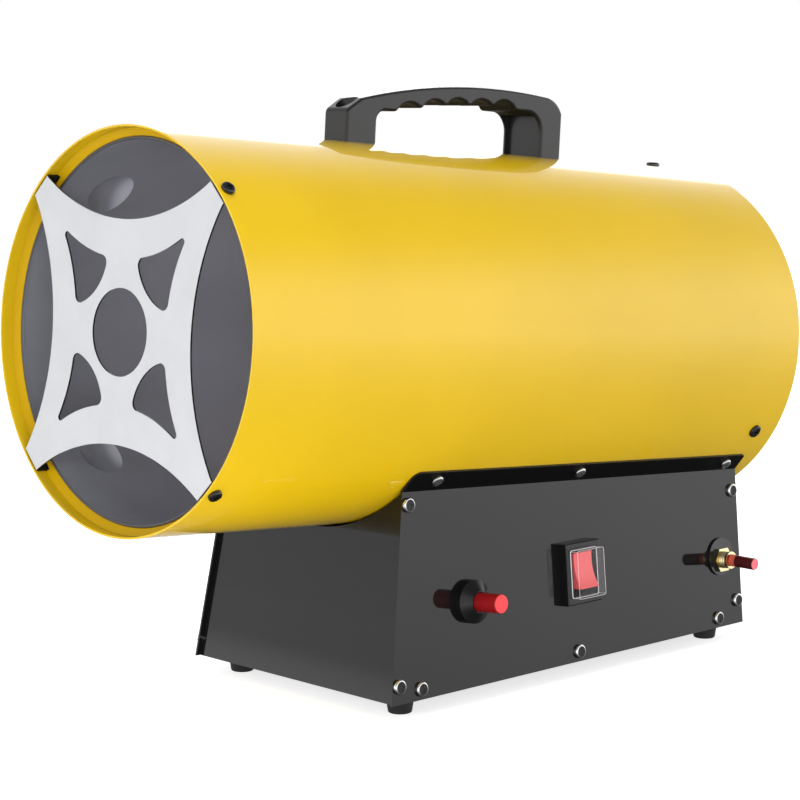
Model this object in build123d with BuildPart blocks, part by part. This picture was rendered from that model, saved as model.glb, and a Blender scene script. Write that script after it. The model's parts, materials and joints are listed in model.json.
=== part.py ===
from build123d import *
from math import acos, atan, cos, degrees, radians, sin, sqrt, tan
import os

os.makedirs("parts", exist_ok=True)

# A gas-fired forced air heater: a pitched tube with its outlet at -X, standing on a folded sheet
# base whose controls face -Y. Millimetres, +Z up, origin on the ground under the middle of the object.
# "along" counts from the mouth down the tube's axis. An angle round the tube counts up from +Y.

# ---------------------------------------------------------------- sizes: tube
casing_radius = 100.0
casing_length = 411.0
casing_wall = 1.0
casing_hem = 4.0
hem_fillet = 0.9
nose_pitch = 3.87
mouth_height = 199.0

ring_setback = 6.3
ring_cone_length = 3.9
ring_land = 8.0
ring_sheet = 0.8

liner_gap = 4.0
liner_wall = 1.0
liner_lip = 0.9
liner_overhang = 10.0
dimple_at = 41.0
dimple_radius = 12.5
dimple_angle = 45.6
rear_ring_inset = 20.0
rear_ring_width = 4.0

guard_sheet = 1.0
guard_corner_width = 14.0
guard_waist = 54.5
guard_hole_radius = 21.5
guard_window_tip = 72.5
guard_window_root = 38.0
guard_window_spread = 27.4
guard_window_floor = 28.0
guard_window_bow = 3.0
guard_tip_fillet = 1.8
guard_root_fillet = 4.0
guard_tab_depth = 10.0
guard_bend = 1.7
guard_screw_at = 5.0

grille_inset = 12.0
grille_sheet = 2.0
grille_ring_width = 2.6
grille_rings = 6
grille_spoke_width = 5.0
grille_spokes = 6
grille_hub_radius = 40.0
grille_tab_width = 14.0
grille_tab_length = 14.0
grille_screw_inset = 20.0

# ---------------------------------------------------------------- sizes: fan, motor and burner
motor_radius = 36.0
motor_length = 54.0
motor_cap_length = 6.0
motor_boss_radius = 11.0
motor_boss_length = 6.0
motor_rib_depth = 1.5
motor_ribs = 5
motor_screw_circle = 24.0
shaft_radius = 4.0
shaft_engagement = 44.0
shaft_end_gap = 1.0
fan_tip_gap = 11.0
fan_blades = 5
fan_blade_width = 46.0
fan_blade_root = 24.0
fan_blade_start = 9.6
fan_blade_full = 44.0
fan_blade_sheet = 1.5
fan_blade_pitch = 32.0
fan_hub_radius = 16.0
fan_hub_length = 14.0
fan_standoff = 18.5
fan_nut_size = 13.0
fan_nut_length = 6.0

burner_length = 40.0
burner_mouth_radius = 46.0
burner_back_radius = 28.0
burner_sheet = 1.0
burner_air_holes = 8
burner_air_hole_radius = 3.0
burner_air_circle = 18.0
bracket_setback = 19.0
bracket_sheet = 1.5
bracket_arm_width = 14.0
bracket_tab_length = 10.0
nozzle_tip_radius = 4.0
nozzle_tip_length = 12.0
nozzle_hex = 14.0
nozzle_hex_length = 10.0
nozzle_bore = 1.0
electrode_circle = 58.0
insulator_radius = 3.5
insulator_collar_radius = 5.25
insulator_length = 28.0
electrode_wire = 1.2
electrode_reach = 12.0
electrode_gap = 2.0
probe_radius = 1.6
probe_length = 44.0
probe_collar_radius = 4.0
thermostat_inset = 18.0
thermostat_radius = 6.5
thermostat_height = 5.0
thermostat_blade = 2.6

# ---------------------------------------------------------------- sizes: handle (heights over the casing)
handle_front = 134.4
handle_front_leg = 20.6
handle_gap = 120.8
handle_rear_leg = 16.0
handle_front_half_width = 9.0
handle_rear_half_width = 15.5
handle_nose_height = 16.3
handle_brow_setback = 9.8
handle_brow_height = 22.6
handle_grip_setback = 74.3
handle_grip_height = 33.0
handle_tail_inset = 13.1
handle_tail_height = 32.5
handle_heel_inset = 4.2
handle_heel_height = 29.3
handle_heel_end = 24.0
handle_ridges = (17.2, 19.2, 22.0, 23.0, 24.2, 23.5)
handle_grooves = (22.1, 24.7, 26.6, 27.3, 28.0)
groove_front_margin = 22.4
groove_rear_margin = 29.0
handle_nose_fillet = 4.0
handle_front_corner = 6.0
handle_rear_corner = 11.0
handle_edge_fillet = 1.6
handle_ridge_fillet = 2.5
handle_screw_setback = 7.3
handle_recess_radius = 5.75
handle_recess_floor = 7.0
handle_recess_reach = 2.0
handle_channel_depth = 2.7
handle_channel_wall = 2.0
handle_channel_top = 1.5

# ---------------------------------------------------------------- sizes: base
sheet = 1.2
base_setback = 107.1
base_rear_inset = 19.3
base_half_width = 77.85
panel_lean = 5.0
front_lean = 8.7
end_panel_recess = 2.6
end_flange = 10.0
flange_width = 13.66
flange_front_corner = 5.5
flange_rear_corner = 2.0
floor_lip = 11.0
saddle_gap = 1.0
foot_height = 9.0
foot_top_radius = 7.5
foot_bottom_radius = 6.15
foot_edge_fillet = 1.0
foot_inset_front = 20.7
foot_inset_rear = 16.3
foot_inset_side = 15.45
foot_recess_radius = 4.4
foot_recess_depth = 3.6

# ---------------------------------------------------------------- sizes: screws
screw_shank = 2.0
screw_head = 3.9
screw_head_height = 2.0
tube_screw_head = 3.5
tube_screw_head_height = 2.2
screw_length = 6.0
head_roundness = 0.55  # share of a head's height
recess_reach = 1.1     # shares of a head's radius
recess_blade = 0.24
panel_screw_length = 3.5
flange_screw_length = 5.0
flange_screw_drop = 5.48
flange_screw_front_inset = 19.0
flange_screw_span = 108.6
flange_screw_rear_inset = 14.5
edge_screw_inset = 4.4
edge_screw_low = 9.2
edge_screw_drop = 7.8
rear_screw_inset = 4.85
rear_screw_low = 13.6
rear_screw_drop = 12.1
floor_screw_height = 5.6
floor_screw_front_inset = 21.0
floor_screw_rear_inset = 22.8

# ---------------------------------------------------------------- sizes: controls (from the panel's corner)
switch_x = 142.4
switch_up = 48.7
switch_width = 27.0
switch_height = 33.5
switch_depth = 5.7
switch_wall = 2.2
switch_body_depth = 17.0
switch_well_depth = 10.5
cover_width = 21.1
cover_height = 26.0
cover_rise = 6.0
cover_wall = 0.8
cover_seat = 1.5
rocker_width = 14.6
rocker_half_height = 10.2
rocker_face = 7.9
rocker_dish = 2.0
rocker_pivot = -0.3
rocker_pin = 1.3
rocker_foot = 7.65
rocker_fillet = 0.5
pin_engagement = 1.0
frame_fillet = 0.8
cover_fillet = 0.6
cover_corner = 1.2
rocker_tilt = 12.0

valve_x = 59.8
valve_up = 44.8
collar_radius = 11.4
collar_rim = 3.9
collar_rise = 3.7
collar_nose_radius = 5.7
button_radius = 5.0
button_length = 22.7
button_shoulder = 1.3
button_travel = 4.0
button_stem_radius = 2.25
button_fillet = 0.7
valve_nose_radius = 8.0
valve_nose_length = 4.0
valve_bore = 6.7
valve_bore_depth = 20.4
valve_corner = 2.0
valve_size = 26.0
valve_depth = 34.0
spring_wire = 1.0

inlet_inset = 18.2
inlet_up = 39.0
inlet_washer_radius = 10.85
inlet_washer_sheet = 1.3
inlet_washer_lift = 1.8
inlet_nut_size = 13.0
inlet_nut_length = 2.0
inlet_thread_radius = 4.8
inlet_thread_end = 7.3
inlet_thread_pitch = 1.2
inlet_collar_radius = 4.9
inlet_collar_length = 1.2
inlet_back_radius = 5.5
inlet_back_length = 5.0
inlet_tail = 14.0
inlet_gas_bore = 2.0
seal_length = 3.8
cap_radius = 3.4
cap_reach = 17.0
cap_insert = 1.5
cap_stem_radius = 2.2
cap_seat_gap = 0.4
cap_droop = 5.0
cap_fillet = 0.5

pipe_radius = 4.0
pipe_bore = 3.0
pipe_nut_size = 12.8
pipe_nut_length = 6.0
pipe_bend = 12.0
feed_bend = 9.0
feed_depth = 26.0
feed_straight = 20.0
pipe_run = 18.0
pipe_to_fan = 42.5
grommet_radius = 9.0
grommet_flange = 11.0
grommet_flange_sheet = 1.6

gland_y = 25.0
gland_up = 24.0
gland_bore = 4.0
gland_thread_radius = 8.0
gland_hex = 20.0
gland_hex_length = 5.0
gland_dome_length = 9.0
gland_dome_fillet = 3.0
gland_inner_length = 9.0
gland_nut_length = 4.0

block_length = 40.0
block_width = 18.0
block_height = 14.0
block_x = 100.0
block_y = 22.0
block_poles = 4
pole_length = 6.0
pole_width = 9.0
pole_depth = 5.6
module_length = 52.0
module_width = 34.0
module_height = 24.0
module_corner = 3.0
module_boss_radius = 6.2
module_boss_height = 7.2
module_x = 30.0
module_y = 38.0

# ---------------------------------------------------------------- clearances
seat_gap = 0.1      # between pieces that are fixed to each other
tab_gap = 0.3       # round tabs and pressings that lie close to a wall
move_gap = 0.35     # between pieces that move past each other
running_gap = 0.06  # round a shaft or pin in its bearing
near = 0.01         # points closer than this are one point

# ---------------------------------------------------------------- places
pitch_cos = cos(radians(nose_pitch))
pitch_sin = sin(radians(nose_pitch))
lean_cos = cos(radians(panel_lean))
lean_sin = sin(radians(panel_lean))
casing_bore = casing_radius - casing_wall
liner_radius = casing_bore - liner_gap
liner_bore = liner_radius - liner_wall
liner_front = ring_setback + ring_cone_length * (1 - liner_wall / (liner_gap + liner_wall)) + seat_gap / 2
mouth_x = -casing_length * pitch_cos / 2
base_front_x = mouth_x + base_setback
base_rear_x = mouth_x + casing_length * pitch_cos - base_rear_inset
base_length = base_rear_x - base_front_x
floor_top = foot_height + sheet
inlet_x = base_length - inlet_inset
screw_hole = screw_shank + seat_gap
screw_reach = panel_screw_length + seat_gap
tab_radius = sqrt((casing_bore - seat_gap) ** 2 - (guard_corner_width / 2) ** 2)
grille_at = casing_length - grille_inset
motor_front = grille_at - motor_length
cap_front = motor_front - motor_cap_length
fan_at = cap_front - motor_boss_length - fan_standoff
fan_radius = casing_bore - fan_tip_gap
drop_pipe_at = fan_at - pipe_to_fan
nozzle_back = drop_pipe_at - pipe_run
burner_back = nozzle_back - nozzle_hex_length - burner_sheet
burner_at = burner_back - burner_length
bracket_at = burner_at + bracket_setback
liner_end = bracket_at + liner_overhang

tube_plane = Plane(origin=(mouth_x, 0, mouth_height), x_dir=(0, 1, 0), z_dir=(pitch_cos, 0, -pitch_sin))
profile_plane = Plane(origin=tube_plane.origin, x_dir=tube_plane.z_dir, z_dir=(0, -1, 0))
tube_axis = Axis(tube_plane.origin, tube_plane.z_dir)

CONTROL_SIDE = -1
FAR_SIDE = 1
DIAGONALS = (45, 135, 225, 315)
THREE_WAYS = (90, 210, 330)
UNDERSIDE = 270
HEXAGON = 6
PROBE_ANGLE = 210
THERMOSTAT_ANGLE = 330
SPOKE_ANGLE = 30
PAST = 3  # thicknesses that a cut runs on past a sheet


def station(along):
    """Plane square to the tube, its X to +Y and its Y up."""
    return tube_plane.offset(along)


def in_tube(along, side, up):
    """Point in the part's frame from its place in the tube."""
    return tube_plane.origin + tube_plane.z_dir * along + tube_plane.x_dir * side + tube_plane.y_dir * up


def on_tube(along, angle, radius=casing_radius):
    """Plane that touches the tube at this angle, with its normal outward and its X along the tube."""
    outward = tube_plane.x_dir * cos(radians(angle)) + tube_plane.y_dir * sin(radians(angle))
    centre = tube_plane.origin + tube_plane.z_dir * along
    return Plane(origin=centre + outward * radius, x_dir=tube_plane.z_dir, z_dir=outward)


def radial_profile(angle):
    """Plane through the tube's axis at this angle: X along the tube, Y outward."""
    outward = tube_plane.x_dir * cos(radians(angle)) + tube_plane.y_dir * sin(radians(angle))
    return Plane(origin=tube_plane.origin, x_dir=tube_plane.z_dir, z_dir=tube_plane.z_dir.cross(outward))


def on_panel(side, x, up, off=0.0):
    """Plane on a side panel's outer face, its normal outward; x runs back and up runs up the panel."""
    outward = Vector(0, side * lean_cos, lean_sin)
    rise = Vector(0, -side * lean_sin, lean_cos)
    corner = Vector(base_front_x, side * base_half_width, foot_height)
    place = corner + Vector(x, 0, 0) + rise * up + outward * off
    return Plane(origin=place, x_dir=(1, 0, 0), z_dir=outward)


def pan_screw(head_radius, head_height, length):
    """Pan head screw with a cross recess, its head's seat at Z = 0."""
    with BuildPart() as screw:
        with BuildSketch():
            Circle(head_radius)
        extrude(amount=head_height)
        fillet(screw.edges().group_by(Axis.Z)[-1], radius=head_roundness * head_height)
        with BuildSketch(Plane.XY.offset(head_height)):
            Rectangle(recess_reach * head_radius, recess_blade * head_radius)
            Rectangle(recess_blade * head_radius, recess_reach * head_radius)
        extrude(amount=-head_roundness * head_height, mode=Mode.SUBTRACT)
        with BuildSketch():
            Circle(screw_shank)
        extrude(amount=-length)
    return screw.part


def save(builder, name):
    """Label a finished piece and write its STEP file."""
    builder.part.label = name
    export_step(builder.part, f"parts/{name}.step")


tube_screw = pan_screw(tube_screw_head, tube_screw_head_height, screw_length)
flange_screw = pan_screw(tube_screw_head, tube_screw_head_height, flange_screw_length)
panel_screw = pan_screw(screw_head, screw_head_height, panel_screw_length)
grille_screw = pan_screw(screw_head, screw_head_height, screw_length)

# Where the screws stand.
guard_screw_planes = [on_tube(guard_screw_at, angle) for angle in DIAGONALS]
grille_screw_planes = [on_tube(casing_length - grille_screw_inset, angle) for angle in THREE_WAYS]
handle_gap_front = handle_front + handle_front_leg
handle_gap_rear = handle_gap_front + handle_gap
handle_rear = handle_gap_rear + handle_rear_leg
handle_screw_at = handle_front + handle_screw_setback
handle_rear_screw_at = handle_gap_rear + handle_rear_leg / 2
handle_screw_plane = on_tube(handle_screw_at, 90, casing_radius + handle_recess_floor)
handle_rear_screw_plane = Plane(
    origin=in_tube(handle_rear_screw_at, 0, casing_bore - seat_gap),
    x_dir=tube_plane.z_dir,
    z_dir=-tube_plane.y_dir,
)


# The flange is flange_width wide at the base's front, from its bend to where its face touches the tube.
seat_radius = casing_radius + sheet
axis_rise = mouth_height - base_setback * tan(radians(nose_pitch)) - foot_height
bend_distance = sqrt(seat_radius ** 2 + flange_width ** 2)
bend_angle = degrees(acos((base_half_width * lean_cos - axis_rise * lean_sin) / bend_distance)) - panel_lean
flange_angle = bend_angle - degrees(atan(flange_width / seat_radius))
flange_screw_angle = flange_angle + degrees(atan(flange_screw_drop / seat_radius))


def meet(first, second):
    """Point (y, z) where the lines a * y + b * z = c cross, each line given as (a, b, c)."""
    a1, b1, c1 = first
    a2, b2, c2 = second
    spread = a1 * b2 - a2 * b1
    return ((c1 * b2 - c2 * b1) / spread, (a1 * c2 - a2 * c1) / spread)


def flange_line(x, radius):
    """Cut at x through the flat face that touches a cylinder of this radius round the tube's axis."""
    outward_y = -cos(radians(flange_angle))
    outward_z = -sin(radians(flange_angle)) * pitch_cos
    run = sin(radians(flange_angle)) * pitch_sin * (x - mouth_x)
    return (outward_y, outward_z, radius + run + outward_z * mouth_height)


def panel_line(depth):
    """Cut through the control side's leaning face, this deep behind its outside."""
    return (-lean_cos, lean_sin, lean_cos * base_half_width + lean_sin * foot_height - depth)


def flange_top(x, radius):
    """Upper end of the flange's face at x."""
    side = -radius * cos(radians(flange_angle))
    up = -radius * sin(radians(flange_angle))
    along = (x - mouth_x - up * pitch_sin) / pitch_cos
    return (side, mouth_height - along * pitch_sin + up * pitch_cos)


def panel_section(x):
    """The bent sheet cut square at x: up the outside and down the inside."""
    return [
        (-base_half_width, foot_height),
        meet(panel_line(0), flange_line(x, seat_radius)),
        flange_top(x, seat_radius),
        flange_top(x, casing_radius),
        meet(panel_line(sheet), flange_line(x, casing_radius)),
        (-base_half_width + sheet / lean_cos, foot_height),
    ]


def panel_rise(x):
    """How far up the panel its bend lies at x."""
    bend = meet(panel_line(0), flange_line(x, seat_radius))
    return (bend[1] - foot_height) / lean_cos


def front_edge(up):
    """Where a side panel's front edge lies at this height up the panel."""
    return up * lean_cos * tan(radians(front_lean))


front_rise = panel_rise(base_front_x)
rear_rise = panel_rise(base_rear_x)
flange_up = -seat_radius * sin(radians(flange_screw_angle))
flange_front = (base_setback + front_edge(front_rise) - flange_up * pitch_sin) / pitch_cos
flange_rear = (base_setback + base_length - flange_up * pitch_sin) / pitch_cos


def flange_screw_planes(side):
    """Places of one side's flange screws, on the flange's outer face."""
    slant = radians(flange_screw_angle - flange_angle)
    face_radius = seat_radius / cos(slant)
    angle = -flange_screw_angle if side == FAR_SIDE else 180 + flange_screw_angle
    tilt = flange_angle - flange_screw_angle if side == CONTROL_SIDE else flange_screw_angle - flange_angle
    places = []
    first = flange_front + flange_screw_front_inset
    last = flange_rear - flange_screw_rear_inset
    for along in (first, first + flange_screw_span, last):
        seat = on_tube(along, angle, face_radius)
        flat = on_tube(along, angle + tilt)
        places.append(Plane(origin=seat.origin, x_dir=flat.x_dir, z_dir=flat.z_dir))
    return places


end_screw_places = [
    (front_edge(edge_screw_low) + edge_screw_inset, edge_screw_low),
    (front_edge(front_rise - edge_screw_drop) + edge_screw_inset, front_rise - edge_screw_drop),
    (base_length - rear_screw_inset, rear_screw_low),
    (base_length - rear_screw_inset, rear_rise - rear_screw_drop),
]
floor_screw_first = floor_screw_front_inset
floor_screw_last = base_length - floor_screw_rear_inset
floor_screw_places = [
    (floor_screw_first, floor_screw_height),
    ((floor_screw_first + floor_screw_last) / 2, floor_screw_height),
    (floor_screw_last, floor_screw_height),
]


def side_screw_planes(side):
    """Places of one side panel's own screws."""
    return [on_panel(side, x, up) for x, up in end_screw_places + floor_screw_places]


# ---------------------------------------------------------------- outer casing
with BuildPart() as outer_casing:
    with BuildSketch(tube_plane):
        Circle(casing_radius)
        Circle(casing_bore, mode=Mode.SUBTRACT)
    extrude(amount=casing_length)
    with BuildSketch(station(casing_length - casing_hem)):
        Circle(casing_bore)
        Circle(casing_bore - casing_wall, mode=Mode.SUBTRACT)
    extrude(amount=casing_hem)
    rear_rims = outer_casing.edges().filter_by(GeomType.CIRCLE).sort_by(tube_axis)[-2:]
    fillet(rear_rims, radius=hem_fillet)
    with Locations(*guard_screw_planes, *grille_screw_planes):
        Hole(screw_hole, depth=2 * screw_length)
    with Locations(*flange_screw_planes(CONTROL_SIDE), *flange_screw_planes(FAR_SIDE)):
        Hole(screw_hole, depth=2 * screw_length)
    with Locations(on_tube(handle_screw_at, 90), on_tube(handle_rear_screw_at, 90)):
        Hole(screw_hole, depth=2 * screw_length)
    with Locations(on_tube(drop_pipe_at, UNDERSIDE)):
        Hole(grommet_radius + seat_gap, depth=2 * screw_length)
save(outer_casing, "outer_casing")

# ---------------------------------------------------------------- mouth ring
cone_slant = sqrt(ring_cone_length ** 2 + (liner_gap + liner_wall) ** 2)
cone_shift_along = ring_sheet * (liner_gap + liner_wall) / cone_slant
cone_shift_out = ring_sheet * ring_cone_length / cone_slant
cone_slope = ring_cone_length / (liner_gap + liner_wall)
ring_outer = casing_bore - seat_gap
ring_inner = liner_radius + seat_gap


def cone_face(radius):
    """Distance along the tube of the ring's front face at this radius."""
    return ring_setback + (ring_outer - radius) * cone_slope


def cone_back(radius):
    """Distance along the tube of the ring's back face at this radius."""
    return cone_face(radius - cone_shift_out) + cone_shift_along


with BuildPart() as mouth_ring:
    with BuildSketch(profile_plane):
        with BuildLine():
            Polyline(
                (ring_setback, ring_outer),
                (ring_setback + ring_land, ring_outer),
                (ring_setback + ring_land, ring_outer - ring_sheet),
                (cone_back(ring_outer - ring_sheet), ring_outer - ring_sheet),
                (cone_back(ring_inner), ring_inner),
                (cone_face(ring_inner), ring_inner),
                close=True,
            )
        make_face()
    revolve(axis=tube_axis)
    # Notches let the guard's tabs lie flat on the casing.
    for angle in DIAGONALS:
        with BuildSketch(on_tube(0, angle, tab_radius + tab_gap)):
            Rectangle(2 * (guard_tab_depth + move_gap), guard_corner_width + 2 * move_gap)
        extrude(amount=2 * ring_sheet, mode=Mode.SUBTRACT)
        with BuildSketch(on_tube(0, angle, tab_radius + tab_gap)):
            Rectangle(2 * (guard_tab_depth + move_gap), guard_corner_width + 2 * move_gap)
        extrude(amount=-2 * guard_sheet, mode=Mode.SUBTRACT)
save(mouth_ring, "mouth_ring")

# ---------------------------------------------------------------- combustion liner
dimple_top = casing_bore - tab_gap
dimple_depth = dimple_top - liner_radius
dimple_centre = (dimple_top ** 2 - liner_radius ** 2 - dimple_radius ** 2) / (2 * dimple_depth)
dimple_sphere = dimple_top - dimple_centre
dimple_angles = (dimple_angle, 180 - dimple_angle, 180 + dimple_angle, -dimple_angle)


def dimple_domes(sphere_radius):
    """Four balls whose caps stand out of the liner."""
    with BuildPart() as domes:
        with Locations(*[on_tube(dimple_at, angle, dimple_centre) for angle in dimple_angles]):
            Sphere(sphere_radius)
    return domes.part


with BuildPart() as combustion_liner:
    with BuildSketch(station(liner_front)):
        Circle(liner_radius)
    extrude(amount=liner_end - liner_front)
    add(dimple_domes(dimple_sphere))
    with BuildSketch(station(liner_front)):
        Circle(liner_bore)
    extrude(amount=liner_end - liner_front, mode=Mode.SUBTRACT)
    add(dimple_domes(dimple_sphere - liner_wall), mode=Mode.SUBTRACT)
    # Rolled front edge.
    with BuildSketch(profile_plane):
        with Locations((liner_front, liner_radius - liner_lip)):
            Circle(liner_lip)
    revolve(axis=tube_axis)
save(combustion_liner, "combustion_liner")

with BuildPart() as liner_rear_ring:
    with BuildSketch(station(liner_end - rear_ring_inset)):
        Circle(ring_outer)
        Circle(ring_inner, mode=Mode.SUBTRACT)
    extrude(amount=rear_ring_width)
save(liner_rear_ring, "liner_rear_ring")

# ---------------------------------------------------------------- outlet guard
corner_out = tab_radius - guard_bend
corner_a = (corner_out + guard_corner_width / 2) / sqrt(2)
corner_b = (corner_out - guard_corner_width / 2) / sqrt(2)

with BuildSketch() as guard_window:
    root_x = guard_window_root * cos(radians(guard_window_spread))
    root_y = guard_window_root * sin(radians(guard_window_spread))
    middle_x = (guard_window_tip + root_x) / 2
    middle_y = root_y / 2 - guard_window_bow
    with BuildLine():
        ThreePointArc((root_x, root_y), (middle_x, middle_y), (guard_window_tip, 0))
        ThreePointArc((guard_window_tip, 0), (middle_x, -middle_y), (root_x, -root_y))
        ThreePointArc((root_x, -root_y), (guard_window_floor, 0), (root_x, root_y))
    make_face()
    fillet(guard_window.vertices().sort_by(Axis.X)[-1:], radius=guard_tip_fillet)
    roots = guard_window.vertices().filter_by(lambda vertex: abs(abs(vertex.Y) - root_y) < near)
    fillet(roots, radius=guard_root_fillet)

with BuildPart() as outlet_guard:
    with BuildSketch(tube_plane):
        with BuildLine():
            ThreePointArc((-corner_b, corner_a), (0, guard_waist), (corner_b, corner_a))
            Line((corner_b, corner_a), (corner_a, corner_b))
            ThreePointArc((corner_a, corner_b), (guard_waist, 0), (corner_a, -corner_b))
            Line((corner_a, -corner_b), (corner_b, -corner_a))
            ThreePointArc((corner_b, -corner_a), (0, -guard_waist), (-corner_b, -corner_a))
            Line((-corner_b, -corner_a), (-corner_a, -corner_b))
            ThreePointArc((-corner_a, -corner_b), (-guard_waist, 0), (-corner_a, corner_b))
            Line((-corner_a, corner_b), (-corner_b, corner_a))
        make_face()
        Circle(guard_hole_radius, mode=Mode.SUBTRACT)
        with PolarLocations(0, len(DIAGONALS), start_angle=DIAGONALS[0]):
            add(guard_window.sketch, mode=Mode.SUBTRACT)
    extrude(amount=guard_sheet)
    # A tab folded back at each corner, seen in profile as a quarter bend and a leg.
    for angle in DIAGONALS:
        with BuildSketch(radial_profile(angle)):
            with BuildLine():
                Line((0, corner_out - guard_sheet), (0, corner_out))
                RadiusArc((0, corner_out), (guard_bend, tab_radius), guard_bend)
                Line((guard_bend, tab_radius), (guard_tab_depth, tab_radius))
                Line((guard_tab_depth, tab_radius), (guard_tab_depth, tab_radius - guard_sheet))
                Line((guard_tab_depth, tab_radius - guard_sheet), (guard_bend, tab_radius - guard_sheet))
                RadiusArc(
                    (guard_bend, tab_radius - guard_sheet),
                    (guard_sheet, corner_out),
                    guard_sheet - guard_bend,
                )
                Line((guard_sheet, corner_out), (guard_sheet, corner_out - guard_sheet))
                Line((guard_sheet, corner_out - guard_sheet), (0, corner_out - guard_sheet))
            make_face()
        extrude(amount=guard_corner_width / 2, both=True)
    with Locations(*guard_screw_planes):
        Hole(screw_hole, depth=2 * screw_length)
save(outlet_guard, "outlet_guard")

with BuildPart() as guard_screws:
    with Locations(*guard_screw_planes):
        add(tube_screw)
save(guard_screws, "guard_screws")

# ---------------------------------------------------------------- rear grille
grille_tab_radius = sqrt((casing_bore - seat_gap) ** 2 - (grille_tab_width / 2) ** 2)
grille_outer_radius = grille_tab_radius - guard_sheet / 2
grille_ring_step = (grille_outer_radius - grille_hub_radius) / (grille_rings - 1)

with BuildPart() as rear_grille:
    with BuildSketch(station(grille_at)):
        Circle(grille_hub_radius)
        for index in range(grille_rings - 1):
            ring_radius = grille_outer_radius - index * grille_ring_step
            with BuildSketch(mode=Mode.PRIVATE) as ring:
                Circle(ring_radius)
                Circle(ring_radius - grille_ring_width, mode=Mode.SUBTRACT)
            add(ring.sketch)
        for index in range(grille_spokes):
            angle = SPOKE_ANGLE + index * 360 / grille_spokes
            reach = grille_outer_radius - grille_ring_width / 2
            with PolarLocations(reach / 2, 1, start_angle=angle):
                Rectangle(reach, grille_spoke_width)
    extrude(amount=grille_sheet)
    for angle in THREE_WAYS:
        with BuildSketch(on_tube(grille_at + grille_sheet, angle, grille_tab_radius)):
            with Locations((-grille_tab_length / 2, 0)):
                Rectangle(grille_tab_length, grille_tab_width)
        extrude(amount=-guard_sheet)
    with Locations(*grille_screw_planes):
        Hole(screw_hole, depth=2 * screw_length)
    with Locations(station(grille_at)):
        with PolarLocations(motor_screw_circle, len(DIAGONALS), start_angle=DIAGONALS[0]):
            Hole(screw_hole, depth=2 * grille_sheet)
save(rear_grille, "rear_grille")

with BuildPart() as grille_screws:
    with Locations(*grille_screw_planes):
        add(grille_screw)
save(grille_screws, "grille_screws")

# ---------------------------------------------------------------- motor and fan
with BuildPart() as motor_body:
    with BuildSketch(station(motor_front)):
        Circle(motor_radius)
    extrude(amount=motor_length)
    for index in range(motor_ribs):
        rib_at = motor_front + (index + 1) * motor_length / (motor_ribs + 1)
        with BuildSketch(station(rib_at)):
            Circle(motor_radius)
            Circle(motor_radius - motor_rib_depth, mode=Mode.SUBTRACT)
        extrude(amount=motor_rib_depth, mode=Mode.SUBTRACT)
    with BuildSketch(station(motor_front)):
        Circle(shaft_radius + running_gap)
    extrude(amount=shaft_engagement, mode=Mode.SUBTRACT)
    with Locations(station(grille_at)):
        with PolarLocations(motor_screw_circle, len(DIAGONALS), start_angle=DIAGONALS[0]):
            Hole(screw_hole, depth=screw_length)
save(motor_body, "motor_body")

with BuildPart() as motor_front_cap:
    with BuildSketch(station(cap_front)):
        Circle(motor_radius)
    extrude(amount=motor_cap_length)
    front_rim = motor_front_cap.edges().filter_by(GeomType.CIRCLE).sort_by(tube_axis)[0]
    chamfer(front_rim, length=motor_rib_depth)
    with BuildSketch(station(cap_front - motor_boss_length)):
        Circle(motor_boss_radius)
    extrude(amount=motor_boss_length)
    with BuildSketch(station(cap_front - motor_boss_length)):
        Circle(shaft_radius + running_gap)
    extrude(amount=motor_boss_length + motor_cap_length, mode=Mode.SUBTRACT)
save(motor_front_cap, "motor_front_cap")

with BuildPart() as motor_screws:
    with Locations(station(grille_at + grille_sheet)):
        with PolarLocations(motor_screw_circle, len(DIAGONALS), start_angle=DIAGONALS[0]):
            add(grille_screw)
save(motor_screws, "motor_screws")

fan_front = fan_at - fan_hub_length / 2
shaft_front = fan_front - fan_nut_length - 2 * seat_gap

with BuildPart() as motor_shaft:
    with BuildSketch(station(shaft_front)):
        Circle(shaft_radius)
    extrude(amount=motor_front + shaft_engagement - shaft_end_gap - shaft_front)
save(motor_shaft, "motor_shaft")

with BuildPart() as fan_rotor:
    for index in range(fan_blades):
        arm = on_tube(fan_at, 90 + index * 360 / fan_blades, 0)
        blade_plane = Plane(
            origin=arm.origin,
            x_dir=arm.z_dir,
            z_dir=arm.x_dir.rotate(Axis((0, 0, 0), arm.z_dir), fan_blade_pitch),
        )
        with BuildSketch(blade_plane):
            with BuildLine():
                Polyline(
                    (fan_blade_start, fan_blade_root / 2),
                    (fan_blade_full, fan_blade_width / 2),
                    (casing_radius, fan_blade_width / 2),
                    (casing_radius, -fan_blade_width / 2),
                    (fan_blade_full, -fan_blade_width / 2),
                    (fan_blade_start, -fan_blade_root / 2),
                    close=True,
                )
            make_face()
        extrude(amount=fan_blade_sheet / 2, both=True)
    with BuildSketch(station(fan_at)):
        Circle(fan_radius)
    extrude(amount=fan_blade_width, both=True, mode=Mode.INTERSECT)
    with BuildSketch(station(fan_front)):
        Circle(fan_hub_radius)
    extrude(amount=fan_hub_length)
    with BuildSketch(station(fan_at)):
        Circle(shaft_radius + seat_gap / 2)
    extrude(amount=fan_blade_width, both=True, mode=Mode.SUBTRACT)
save(fan_rotor, "fan_rotor")

with BuildPart() as fan_nut:
    with BuildSketch(station(fan_front - seat_gap)):
        RegularPolygon(fan_nut_size / 2, HEXAGON, major_radius=False)
        Circle(shaft_radius + seat_gap / 2, mode=Mode.SUBTRACT)
    extrude(amount=-fan_nut_length)
save(fan_nut, "fan_nut")

# ---------------------------------------------------------------- burner
burner_slope = (burner_mouth_radius - burner_back_radius) / burner_length


def burner_radius(along):
    """Outer radius of the burner cup's cone."""
    return burner_mouth_radius - (along - burner_at) * burner_slope


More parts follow.
